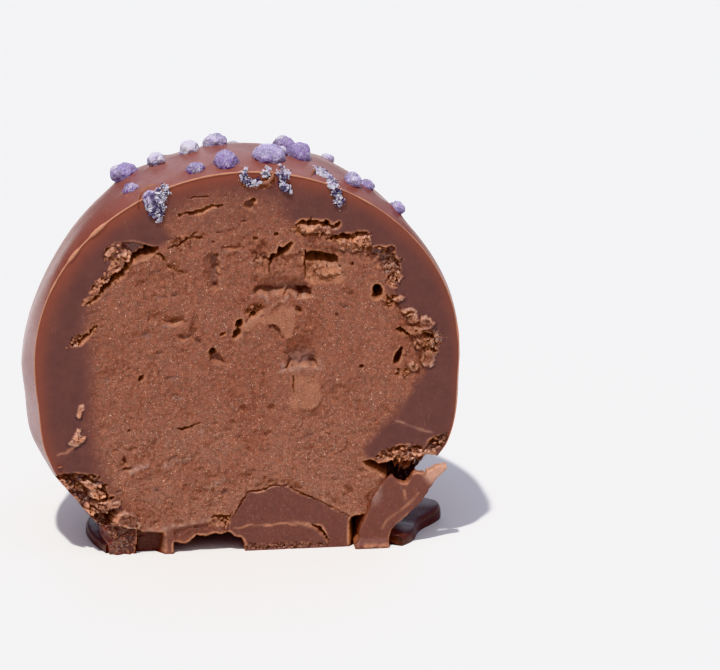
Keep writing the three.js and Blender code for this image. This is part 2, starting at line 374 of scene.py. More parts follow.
class CutFace:
    """The cut as fields on a fine grid: how deep each place lies behind the knife's plane, and its colour."""

    def __init__(self, form: Form, pitch: float) -> None:
        """Takes the bonbon's form and the distance between grid points."""
        self.form, self.pitch = form, pitch
        reach, top = form.dome.radius + 0.4, form.dome.girth + form.dome.rise + 0.3
        self.xs = np.arange(-reach, reach, pitch)
        self.zs = np.arange(-0.5 * pitch, top, pitch)
        x, z = np.meshgrid(self.xs, self.zs, indexing="ij")
        self.x, self.z, self.place = x, z, np.stack([x, 0 * x, z], axis=-1)
        self.depth = np.zeros(x.shape)
        names = ("ganache", "glint", "crumb", "dusk", "murk", "frost", "warm")
        self.masks = {name: np.zeros(x.shape) for name in names}
        self.outline = self.normed(form.outline(x, form.cut, z))
        wobble = crumple(self.place, 2.4, 11) * 0.28 + crumple(self.place, 0.6, 12) * 0.1
        room = self.normed(form.room.outside(x, form.cut + 0 * x, z))
        self.room = np.maximum(room + wobble, form.floor + 0.25 - z + wobble)
        mound = self.normed(form.mound.outside(x - form.mound_x, form.cut + 0 * x, z))
        self.mound = np.maximum(mound + 0.5 * wobble, form.mound.girth - z)
        apart = np.hypot(x - form.coat_x, z - form.coat_top + form.coat_radius)
        self.coat = apart - form.coat_radius + crumple(self.place, 1.5, 13) * 0.08

    def normed(self, outside: np.ndarray) -> np.ndarray:
        """Makes a field that is zero on an outline into the distance from it."""
        slope = np.hypot(*np.gradient(outside, self.pitch))
        return outside / np.clip(slope, 0.2, None)

    def around(self, points: Path, margin: float) -> tuple[Window, np.ndarray, np.ndarray, np.ndarray]:
        """Returns the part of the grid within a margin round points, and its x, z and places."""
        corners = np.array(points)
        low, high = corners.min(0) - margin, corners.max(0) + margin
        spans = zip((self.xs, self.zs), low, high)
        across, up = (slice(*np.searchsorted(line, [first, last])) for line, first, last in spans)
        window = (across, up)
        return window, self.x[window], self.z[window], self.place[window]

    def paint(self, mask: str, window: Window, strength: np.ndarray) -> None:
        """Raises a mask in a window to at least the given strength."""
        self.masks[mask][window] = np.maximum(self.masks[mask][window], strength)

    def sample(self, values: np.ndarray, x: np.ndarray, z: np.ndarray) -> np.ndarray:
        """Returns a field's values between the grid's points."""
        i = np.clip((x - self.xs[0]) / self.pitch, 0, len(self.xs) - 1.001)
        k = np.clip((z - self.zs[0]) / self.pitch, 0, len(self.zs) - 1.001)
        i0, k0 = i.astype(int), k.astype(int)
        s, t = i - i0, k - k0
        low = values[i0, k0] * (1 - s) + values[i0 + 1, k0] * s
        high = values[i0, k0 + 1] * (1 - s) + values[i0 + 1, k0 + 1] * s
        return low * (1 - t) + high * t

    def lifted(self, x: np.ndarray, z: np.ndarray) -> np.ndarray:
        """Puts places on the cut at their depth, and keeps those on the rim on the dome's own surface.

        Args:
            x, z: places on the knife's plane.

        Returns:
            Points, N by 3.
        """
        form, dome = self.form, self.form.dome
        depth = self.sample(self.depth, x, z)
        y = form.cut + depth
        inner = ease(-self.sample(self.outline, x, z), 0.1, 1.2) * ease(z, 2.6, 4.0)
        droop = 0.08 * np.clip(depth, 0, 1.3) * inner
        whole = np.sqrt((dome.radius**2 - y**2) / (dome.radius**2 - form.cut**2))
        radius = np.maximum(dome.radius_at(np.minimum(z, dome.girth)), 8.6)
        level = np.sqrt((radius**2 - y**2) / (radius**2 - form.cut**2))
        upper = z > dome.girth
        new_x = np.where(upper, x * whole, x * level)
        new_z = np.where(upper, dome.girth + (z - dome.girth) * whole, z) + droop
        return np.stack([new_x, y, np.maximum(new_z, 0)], axis=1)

    def region(self, outside: np.ndarray) -> tuple[Skin, list[np.ndarray]]:
        """Meshes the part of the cut where a field is below zero.

        Args:
            outside: a field on the grid.

        Returns:
            The mesh, and its edge as loops of point numbers.
        """
        inside = outside < 0
        number = np.full(inside.shape, -1)
        corners = inside[:-1, :-1].astype(int) + inside[1:, :-1] + inside[1:, 1:] + inside[:-1, 1:]
        full = corners == 4
        used = np.zeros(inside.shape, bool)
        for dx, dz in ((0, 0), (1, 0), (1, 1), (0, 1)):
            used[dx : inside.shape[0] - 1 + dx, dz : inside.shape[1] - 1 + dz] |= corners > 0
        used &= inside
        number[used] = np.arange(used.sum())
        places = [np.stack([self.x[used], self.z[used]], axis=1)]
        i, k = np.nonzero(full)
        corners_of = [number[i, k], number[i + 1, k], number[i + 1, k + 1], number[i, k + 1]]
        faces = np.stack(corners_of, axis=1).tolist()
        crossings: dict[tuple[int, int, int, int], int] = {}
        extra: list[tuple[float, float]] = []
        follows: dict[int, int] = {}

        def crossing(a: tuple[int, int], b: tuple[int, int]) -> int:
            """Returns the point where the edge from a to b meets the outline."""
            low, high = min(a, b), max(a, b)
            key = (*low, *high)
            if key not in crossings:
                va, vb = outside[low], outside[high]
                share = min(max(va / (va - vb), 0.02), 0.98)
                x = self.x[low] + share * (self.x[high] - self.x[low])
                z = self.z[low] + share * (self.z[high] - self.z[low])
                crossings[key] = int(used.sum()) + len(extra)
                extra.append((x, z))
            return crossings[key]

        for i, k in zip(*np.nonzero((corners > 0) & (corners < 4))):
            cell = [(i, k), (i + 1, k), (i + 1, k + 1), (i, k + 1)]
            ring: list[tuple[int, bool]] = []
            for a, b in zip(cell, cell[1:] + cell[:1]):
                if inside[a]:
                    ring.append((int(number[a]), False))
                if inside[a] != inside[b]:
                    ring.append((crossing(a, b), bool(inside[a])))
            if len(ring) >= 3:
                faces.append([point for point, _ in ring])
                for (point, leaves), (after, _) in zip(ring, ring[1:] + ring[:1]):
                    if leaves:
                        follows[point] = after
        places.append(np.array(extra).reshape(-1, 2))
        flat = np.concatenate(places)
        masks = {name: self.sample(values, flat[:, 0], flat[:, 1]) for name, values in self.masks.items()}
        skin = Skin(self.lifted(flat[:, 0], flat[:, 1]), [tuple(f) for f in faces], masks)
        loops = []
        while follows:
            first = next(iter(follows))
            loop = [first]
            while loop[-1] in follows:
                loop.append(follows.pop(loop[-1]))
            loops.append(np.array(loop[:-1] if loop[-1] == loop[0] else loop))
        return skin, sorted(loops, key=len, reverse=True)


def to_path(x: np.ndarray, z: np.ndarray, path: Path) -> tuple[np.ndarray, np.ndarray, np.ndarray]:
    """Measures from points to a path.

    Args:
        x, z: the points.
        path: the path's corners.

    Returns:
        The distance, how far along the path from 0 to 1, and the distance to the left of it.
    """
    corners = np.array(path, float)
    lengths = np.linalg.norm(np.diff(corners, axis=0), axis=1)
    nearest, along, left = np.full(x.shape, 1e9), np.zeros(x.shape), np.zeros(x.shape)
    walked_so_far = 0.0
    for (ax, az), (bx, bz), length in zip(corners, corners[1:], lengths):
        ux, uz = (bx - ax) / length, (bz - az) / length
        s = np.clip((x - ax) * ux + (z - az) * uz, 0, length)
        distance = np.hypot(x - ax - s * ux, z - az - s * uz)
        nearer = distance < nearest
        nearest = np.where(nearer, distance, nearest)
        along = np.where(nearer, (walked_so_far + s) / lengths.sum(), along)
        left = np.where(nearer, (z - az) * ux - (x - ax) * uz, left)
        walked_so_far += length
    return nearest, along, left


def signed_distance(x: np.ndarray, z: np.ndarray, outline: Path) -> np.ndarray:
    """Returns how far points lie outside a closed outline, and less than 0 inside it."""
    distance, _, _ = to_path(x, z, outline + outline[:1])
    inside = np.zeros(x.shape, bool)
    for (ax, az), (bx, bz) in zip(outline, outline[1:] + outline[:1]):
        spans = (az > z) != (bz > z)
        inside ^= spans & (x < (bx - ax) * (z - az) / (bz - az + 1e-9) + ax)
    return np.where(inside, -distance, distance)


@dataclass(frozen=True)
class Tear:
    """A jagged crack that the knife opened. `lips` is how far the flakes reach on either side of it."""

    path: Path
    width: float
    depth: float
    lips: float = 0.0
    ragged: float = 0.2

    def apply(self, face: CutFace, seed: int) -> None:
        """Carves the crack into the cut."""
        window, x, z, place = face.around(self.path, self.width + self.lips + 0.8)
        wander = [crumple(place, 0.45, seed + i, 4, 0.65) for i in (1, 2, 3)]
        _, groove, own, lean = pebbles(place, 0.3, seed + 7)
        bend = min(self.ragged, 0.1 + 0.4 * self.width)
        distance, along, _ = to_path(x + bend * wander[0], z + bend * wander[1], self.path)
        distance = distance + 0.3 * self.width * (own - 0.5)
        half = self.width / 2 * np.sin(math.pi * np.clip(along, 0.03, 0.97)) ** 0.5 * (0.95 + 0.6 * wander[2])
        opened = ease(distance, half, 0.6 * half - 0.02)
        if self.lips > 0:
            near = ease(distance, half + self.lips * (0.8 + 0.9 * wander[2]), half)
            relief = 0.14 * (own - 0.5) + 0.22 * lean - 0.12 * ease(groove, 0.14, 0.0) * (own > 0.4)
            face.depth[window] -= near * ease(along * (1 - along), 0, 0.06) * (1 - opened) * relief
        face.depth[window] = np.maximum(face.depth[window], self.depth * opened)
        # painted shade: the opened crack is darkened, most where it is deep
        face.paint("murk", window, opened * min(max(self.depth - 0.3, 0.15), 1.0))


@dataclass(frozen=True)
class OvalMark:
    """A mark in an oval, which is tilted by `tilt` degrees."""

    x: float
    z: float
    width: float
    height: float
    depth: float
    tilt: float = 0.0

    def shares(self, x: np.ndarray, z: np.ndarray) -> tuple[np.ndarray, np.ndarray]:
        """Returns how far places lie along the oval's width and its height, where its edge is at 1."""
        turn, x, z = math.radians(self.tilt), x - self.x, z - self.z
        across = (x * math.cos(turn) + z * math.sin(turn)) / (self.width / 2)
        return across, (-x * math.sin(turn) + z * math.cos(turn)) / (self.height / 2)


@dataclass(frozen=True)
class Pit(OvalMark):
    """A hole or a hollow. `slope` above 0 makes it deepest at its lower edge, and below 0 at its upper edge.
    `soft` goes from 0 for steep sides to 1 for a bowl."""

    slope: float = 0.0
    soft: float = 0.3
    ragged: float = 0.25

    def apply(self, face: CutFace, seed: int) -> None:
        """Carves the hollow into the cut."""
        window, x, z, place = face.around(((self.x, self.z),), 0.75 * max(self.width, self.height) + 0.4)
        across, up = self.shares(x, z)
        lump = 0.45 * min(self.width, self.height) + 0.12
        out = np.hypot(across, up) + self.ragged * crumple(place, lump, seed)
        deep = ease(out, 1.0, max(1 - self.soft, 0.05) if self.soft < 1 else 0.0)
        high = np.clip(0.5 + 0.5 * up, 0, 1)
        if self.slope < 0:
            deep *= 1 + self.slope - self.slope * high**1.2
        elif self.slope > 0:
            deep *= 1 - self.slope + self.slope * (1 - high) ** 1.2
        face.depth[window] += self.depth * deep
        # painted shade: the hollow is greyed as it deepens and darkened where it is deep
        face.paint("dusk", window, 0.7 * ease(deep, 0.1, 0.7))
        face.paint("murk", window, ease(deep, 0.3, 0.8) * min(max(self.depth - 0.5, 0.0), 1.0))


@dataclass(frozen=True)
class Rubble(OvalMark):
    """A patch that broke into plates and crumbs. `gap` is how deep the gaps between the plates are, and
    `pale` how many of the plates look pale."""

    size: float = 0.5
    pale: float = 0.3
    gap: float = 0.7
    frost: float = 0.0
    murk: float = 0.0

    def apply(self, face: CutFace, seed: int) -> None:
        """Breaks the patch up."""
        size = self.size
        window, x, z, place = face.around(((self.x, self.z),), 0.7 * max(self.width, self.height) + 0.3)
        out = np.hypot(*self.shares(x, z)) + 0.45 * crumple(place, 0.8, seed, 4, 0.65)
        shift = np.stack([crumple(place, 0.9 * size, seed + i) for i in (4, 5, 6)], axis=-1)
        bent = place + 0.3 * size * shift
        bent[..., 1] = 0
        _, groove, own, lean = pebbles(bent, size, seed + 7)
        _, _, fine, slant = pebbles(bent, 0.4 * size, seed + 9)
        inside = ease(out + 0.35 * (own - 0.5), 1.0, 0.85)
        open_gap = ease(cloud(place, 1.2 * size, seed + 10), 0.0, 0.3)
        plates = 5 * (0.5 + 0.6 * crumple(bent, 2.4 * size, seed + 12, 4, 0.7))
        part = plates - np.floor(plates)
        stepped = np.floor(plates) + ease(part, 0.0, 0.2) - 2.5
        lip = ease(part, 0.45, 0.2) * ease(part, 0.02, 0.12)
        relief = 0.3 + 0.34 * stepped + 0.3 * (own - 0.5) + 0.4 * lean + 0.25 * (fine - 0.5) + 0.3 * slant
        crack = np.maximum(open_gap, 0.35 * ease(own, 0.5, 0.7)) * ease(groove, 0.17, 0.05)
        face.depth[window] += inside * (0.85 * self.depth * relief + self.gap * crack)
        chosen = ease(fine + 0.6 * own, 1.6 * self.pale, 1.6 * self.pale - 0.3)
        # the patch is darkened by its own dark share, and the cracks between plates as painted shade
        face.paint("murk", window, inside * np.clip(self.murk * (1.2 - fine) + 0.8 * crack, 0, 1))
        face.paint("crumb", window, inside * np.maximum(0.75 * chosen, 0.9 * lip * min(2 * self.pale, 1.0)))
        face.paint("frost", window, inside * self.frost * ease(fine, 0.75, 0.9))


@dataclass(frozen=True)
class Ridge:
    """A raised line, such as a smear's edge or a flake that stands up. A grainy one is a row of grains."""

    path: Path
    width: float
    height: float
    frost: float = 0.0
    crumb: float = 0.0
    grainy: float = 0.5

    def apply(self, face: CutFace, seed: int) -> None:
        """Raises the line out of the cut."""
        window, x, z, place = face.around(self.path, self.width * 2 + 0.6)
        wander = [crumple(place, 0.5, seed + i) for i in (1, 2, 3)]
        _, _, own, lean = pebbles(place, 0.2, seed + 7)
        distance, along, left = to_path(x + 0.16 * wander[0], z + 0.16 * wander[1], self.path)
        ends = ease(along * (1 - along), 0.0, 0.1)
        half = self.width / 2
        side = np.where(left > 0, 2.0, 1.0)
        rows = 1 - self.grainy * (1 - ease(own, 0.35, 0.75))
        bulge = np.exp(-((distance / (half * side)) ** 2)) * ends * (0.75 + 0.7 * wander[2]) * rows
        face.depth[window] -= self.height * bulge * (1 + 0.6 * self.grainy * lean)
        near = np.exp(-((distance / (1.2 * half)) ** 2)) * ends * rows * np.clip(0.7 + wander[2], 0, 1)
        # the line's grains are whitened, partly as painted glints
        face.paint("frost", window, self.frost * near)
        face.paint("crumb", window, self.crumb * near)


@dataclass(frozen=True)
class Slump:
    """A patch that sank, or with a negative depth rose, more and more towards one side, where it ends in a
    step. `toward` is the direction of that side in degrees, and -90 is down. `start` is the share of the
    depth that the patch already has at the other side, the crumb share how pale it looks, the frost share
    how white its far edge is, a painted highlight on the sill that faces up, and `rough` how uneven it is."""

    outline: Path
    depth: float
    toward: float = -90.0
    start: float = 0.0
    crumb: float = 0.0
    frost: float = 0.0
    rough: float = 0.05
    soft: float = 0.35
    ragged: float = 0.25

    def apply(self, face: CutFace, seed: int) -> None:
        """Moves the patch."""
        window, x, z, place = face.around(self.outline, 0.8)
        wander = [crumple(place, 0.9, seed + i, 4, 0.65) for i in (1, 2, 3)]
        small = crumple(place, 0.3, seed + 11)
        _, _, own, lean = pebbles(place, 0.3, seed + 7)
        bend = 1.5 * self.ragged
        signed = signed_distance(x + bend * wander[0], z + bend * wander[1], self.outline)
        signed += 0.5 * self.ragged * small
        way = np.array([math.cos(math.radians(self.toward)), math.sin(math.radians(self.toward))])
        out = np.gradient(signed, face.pitch)
        facing = np.clip((out[0] * way[0] + out[1] * way[1]) / (np.hypot(*out) + 1e-6), 0, 1)
        ends = np.array(self.outline) @ way
        share = np.clip((x * way[0] + z * way[1] - ends.min()) / np.ptp(ends), 0, 1)
        inside = ease(signed, 0.03, -self.soft * (1 - 0.55 * facing))
        deep = self.start + (1 - self.start) * share**1.3
        relief = self.rough * (own - 0.5 + lean + 0.8 * small)
        face.depth[window] += inside * (self.depth * deep * (1 + 0.25 * wander[2]) + relief)
        face.paint("crumb", window, self.crumb * inside * np.clip(0.5 + 0.5 * own + 0.6 * wander[2], 0, 1))
        # painted shade: the sunken part is greyed as it deepens and darkened where it is deepest
        face.paint("dusk", window, inside * ease(self.depth * deep, 0.15, 0.5))
        face.paint("murk", window, inside * ease(self.depth * deep, 0.7, 1.2))
        # painted highlight: the far edge, the sill that faces up, is whitened
        sill = ease(signed, -0.12, 0.02) * ease(signed, 0.4, 0.1) * ease(share, 0.7, 0.95)
        face.paint("frost", window, self.frost * sill * ease(small, -0.2, 0.4))


@dataclass(frozen=True)
class Terrace:
    """A patch inside an outline that broke away to a depth, with `run` as the width of its sloping edge."""

    outline: Path
    depth: float
    run: float
    rough: float = 0.25
    ragged: float = 0.2

    def apply(self, face: CutFace, seed: int) -> None:
        """Sinks the patch."""
        wander = crumple(face.place, 0.9, seed, 4) * self.ragged
        signed = wander - signed_distance(face.x, face.z, self.outline)
        share = ease(signed, -0.04, self.run if self.run > 0.2 else 0.08)
        near = share > 0
        relief = np.zeros(near.shape)
        _, groove, own, lean = pebbles(face.place[near], 0.35, seed + 3)
        relief[near] = self.rough * (own - 0.5 + lean + 0.4 * ease(groove, 0.2, 0.0))
        face.depth = np.maximum(face.depth, share * self.depth + ease(share, 0, 0.3) * relief)
        # painted shade: the deeper parts of a deep terrace are darkened
        face.masks["murk"] = np.maximum(face.masks["murk"], share * min(max(self.depth - 0.5, 0.0), 1.0))


@dataclass(frozen=True)
class Flap:
    """A thin torn plate that stands up by `height`, with a crisp ragged outline, paler along it."""

    outline: Path
    height: float = 0.15
    pale: float = 0.65
    ragged: float = 0.16

    def apply(self, face: CutFace, seed: int) -> None:
        """Lays the plate over the cut, with a painted shadow under its lower edge."""
        window, x, z, place = face.around(self.outline, 0.6)
        wander = [crumple(place, 0.4, seed + i, 4, 0.85) for i in (1, 2, 3)]
        lumps = crumple(place, 0.5, seed + 5)
        _, groove, own, lean = pebbles(place, 0.55, seed + 7)
        signed = signed_distance(x + self.ragged * wander[0], z + self.ragged * wander[1], self.outline)
        signed += 0.12 * wander[2]
        inside = ease(signed, 0.04, -0.05) * (1 - 0.9 * ease(groove, 0.1, 0.02) * (own > 0.35))
        brink = inside * ease(signed, -0.2, -0.03) * ease(wander[2], -0.7, 0.1)
        level = 0.3 * face.depth[window] - self.height * (0.7 + 0.9 * (own - 0.5) + 0.7 * lumps + 0.3 * brink)
        face.depth[window] += inside * (level - 0.12 * lean - face.depth[window])
        below = np.clip(-np.gradient(signed, face.pitch, axis=1), 0, 1)
        for mask in ("murk", "dusk", "frost", "crumb"):
            face.masks[mask][window] *= 1 - inside
        # painted shadow: the strip just below the plate's lower edge is darkened
        face.paint("murk", window, 0.8 * below * ease(signed, 0.0, 0.05) * ease(signed, 0.3, 0.1))
        pale = inside * self.pale * np.clip(0.6 + 0.5 * own + 0.7 * lumps, 0.3, 1.1)
        face.paint("crumb", window, np.maximum(pale, 0.95 * brink))
        face.paint("frost", window, 0.7 * brink * ease(wander[1], -0.4, 0.2))


# ---- Where the knife left its marks, as x and z on the cut -------------------------------------------------

GANACHE: Path = (
    (-10.8, 15.5), (-10.9, 16.5), (-10.8, 18.0), (-9.8, 19.3), (-8.7, 20.5), (-7.5, 21.6), (-6.2, 22.1),
    (-5.2, 23.0), (-5.8, 24.2), (-4.5, 25.4), (-2.5, 26.2), (0, 26.3), (2.0, 25.6), (2.6, 24.4),
    (3.3, 23.6), (5.0, 23.3), (6.4, 22.5), (8.1, 21.8), (9.0, 20.8), (9.5, 19.5), (9.8, 18.0), (10.3, 17.3),
    (11.4, 16.4), (12.6, 15.6), (12.8, 13.8), (12.1, 12.6), (11.2, 11.6), (10.7, 10.4), (10.1, 9.2),
    (8.8, 8.2), (8.1, 7.3), (8.2, 6.4), (9.4, 5.6), (9.6, 3.0), (8.3, 2.5), (7.5, 2.2), (5.8, 2.4),
    (1.6, 4.0), (-1.4, 2.55), (-2.4, 2.55), (-3.0, 2.25), (-4.2, 2.1), (-5.6, 1.95), (-6.3, 1.6),
    (-7.5, 1.65), (-7.8, 2.5), (-8.7, 3.6), (-9.6, 4.8), (-10.2, 6.3), (-10.6, 8.0), (-10.7, 10.0),
    (-10.7, 12.0), (-10.5, 14.0),
)
VOID: Path = (
    (7.05, 0.02), (7.05, 1.5), (7.1, 2.1), (7.5, 2.25), (8.6, 2.3), (9.3, 4.0), (9.6, 5.0), (8.7, 5.6),
    (8.1, 5.9), (8.0, 6.15), (8.5, 6.3), (9.0, 6.0), (9.7, 6.0), (10.1, 6.1), (10.6, 6.35), (11.2, 6.2),
    (11.7, 6.4), (12.3, 6.5), (13.0, 6.3), (13.6, 6.0), (17, 6.0), (17, 0.02),
)
PLUG_EDGE: Path = (
    (-1.33, 1.5), (-1.33, 2.28), (-0.91, 2.83), (-0.38, 3.8), (0.03, 4.3), (0.6, 4.3), (1.1, 4.37),
    (1.62, 4.7), (2.68, 4.64), (3.2, 4.25), (3.74, 3.93), (4.9, 3.49), (5.85, 2.83), (6.9, 2.25),
    (6.9, 1.95), (6.6, 1.18), (6.05, 0.52), (5.4, -0.2), (4.9, -1), (4.8, 1.0), (3.6, 1.4), (0.5, 1.5),
)
TERRACES = (
    Terrace(((-15.5, 5.6), (-12.8, 6.0), (-11.7, 6.4), (-10.9, 5.9), (-10.1, 5.1), (-9.6, 4.5),
        (-10.0, 3.5), (-9.6, 3.2), (-9.3, 2.3), (-9.6, 1.9), (-13, 1.6)), 0.45, 0.25, 0.3, 0.2),
    Terrace(((-12.0, -2), (-11.0, 2.4), (-9.2, 2.2), (-7.7, 2.0), (-7.6, -2)), 0.35, 0.2, 0.15, 0.1),
    Terrace(((-7.6, -2), (-7.55, 1.6), (-7.4, 1.65), (-5.9, 1.6), (-5.85, -2)), 0.9, 0.1, 0.04, 0.05),
    Terrace(((-7.68, 0.02), (-7.66, 1.9), (-7.45, 1.7), (-7.42, 0.02)), 2.5, 0.1, 0.0, 0.05),
    Terrace(((-5.2, -2), (-5.2, 1.75), (-4.2, 2.0), (-3.0, 2.15), (-2.4, 2.4), (-1.4, 2.4), (-1.4, -2)),
        0.13, 0.1, 0.05, 0.06),
    Terrace(((-5.25, -0.5), (-5.2, 0.8), (-4.8, 0.68), (-4.3, 0.6), (-4.0, 0.85), (-3.6, 1.22), (-3.0, 1.1),
        (-2.4, 1.3), (-1.9, 1.2), (-1.4, 1.4), (-1.0, 1.0), (-0.6, 0.95), (-0.35, 0.5), (-0.35, -0.5)), 5.0,
        0.1, 0.0, 0.07),
    Terrace(((7.0, 0.02), (7.0, 1.9), (7.45, 2.1), (7.6, 0.02)), 4.5, 0.1, 0.0, 0.04),
    Terrace(VOID, 4.6, 0.2, 0.2, 0.16),
)
TEARS = (
    Tear(((-10.95, 18.2), (-10.28, 18.7), (-9.9, 19.1)), 0.2, 0.9, 0.35),
    Tear(((-10.0, 19.05), (-9.76, 19.4), (-9.3, 19.85), (-8.9, 20.3)), 0.42, 1.6, 0.4),
    Tear(((-9.2, 20.05), (-8.8, 20.35), (-8.4, 20.55)), 0.55, 1.6, 0.3, 0.15),
    Tear(((-8.55, 20.5), (-8.1, 21.16), (-7.6, 21.5)), 0.34, 1.6, 0.3),
    Tear(((-7.8, 21.45), (-7.3, 21.7), (-6.77, 22.0), (-6.13, 22.2)), 0.72, 2.0, 0.0, 0.12),
    Tear(((-6.4, 22.0), (-5.9, 21.7), (-5.5, 21.3)), 0.14, 0.4, 0.3),
    Tear(((-5.5, 22.25), (-4.8, 22.3), (-4.16, 22.75), (-3.8, 23.0), (-3.3, 23.5)), 0.14, 0.5, 0.4),
    Tear(((-3.9, 22.9), (-3.3, 22.95), (-2.7, 23.05)), 0.12, 0.4, 0.3),
    Tear(((-11.5, 15.4), (-10.9, 16.1), (-10.2, 16.8)), 0.24, 1.0, 0.3),
    Tear(((-4.9, 24.5), (-3.6, 24.85), (-1.6, 25.3)), 0.26, 0.5),
    Tear(((-4.0, 25.8), (-3.3, 25.95), (-2.6, 25.9)), 0.14, 0.4),
    Tear(((3.3, 23.65), (3.92, 23.8), (4.76, 23.72), (5.4, 23.6), (5.95, 23.3)), 0.52, 1.7, 0.15, 0.14),
    Tear(((5.8, 23.3), (6.1, 23.35), (6.4, 23.85)), 0.2, 1.0, 0.1, 0.1),
    Tear(((5.55, 22.45), (6.4, 22.6), (7.15, 22.6), (7.6, 22.72), (8.45, 22.8)), 0.5, 1.5, 0.2, 0.14),
    Tear(((3.4, 22.95), (4.0, 22.85), (4.7, 22.95)), 0.13, 0.5, 0.1),
    Tear(((8.0, 21.85), (8.8, 21.7), (9.8, 21.7)), 0.25, 0.8, 0.1),
    Tear(((9.5, 18.2), (9.9, 17.8), (10.3, 17.3)), 0.26, 1.1, 0.2),
    Tear(((10.1, 15.75), (10.6, 15.6), (11.1, 15.2)), 0.3, 1.2, 0.2),
    Tear(((12.1, 15.35), (12.5, 15.1), (13.0, 14.8)), 0.26, 1.3, 0.2),
    Tear(((12.4, 14.2), (12.7, 14.15), (13.1, 13.9)), 0.2, 1.0, 0.2),
    Tear(((10.7, 16.6), (11.1, 16.9), (11.6, 16.8)), 0.22, 1.0, 0.3),
    Tear(((-4.9, 9.1), (-4.2, 9.15), (-3.3, 9.5)), 0.2, 0.5),
    Tear(((-10.75, 4.1), (-10.1, 4.15), (-9.35, 4.3)), 0.3, 1.4, 0.1, 0.1),
    Tear(((-2.4, 2.68), (-1.9, 2.62), (-1.3, 2.7)), 0.16, 0.8, 0.2),
    Tear(((-1.35, 2.3), (-0.91, 2.85), (-0.38, 3.82), (0.03, 4.32), (1.1, 4.4), (1.62, 4.72), (2.68, 4.66),
        (3.2, 4.27), (3.74, 3.95), (4.9, 3.5), (5.85, 2.85), (7.0, 2.22)), 0.09, 0.25, 0.1, 0.08),
    Tear(((4.3, 1.75), (4.9, 1.5), (5.2, 1.0), (5.5, 0.5)), 0.2, 0.9, 0.15, 0.12),
    Tear(((1.6, 21.0), (1.53, 20.5), (1.56, 19.9)), 0.12, 0.3),
    Tear(((3.96, 21.9), (3.93, 21.0), (3.97, 19.5)), 0.15, 0.5, 0.0, 0.08),
    Tear(((-7.05, 20.95), (-7.07, 19.6), (-7.02, 18.1)), 0.1, 0.1, 0.0, 0.05),
    Tear(((3.14, 12.6), (3.1, 12.1), (3.16, 11.5)), 0.12, 0.25, 0.0, 0.08),
)
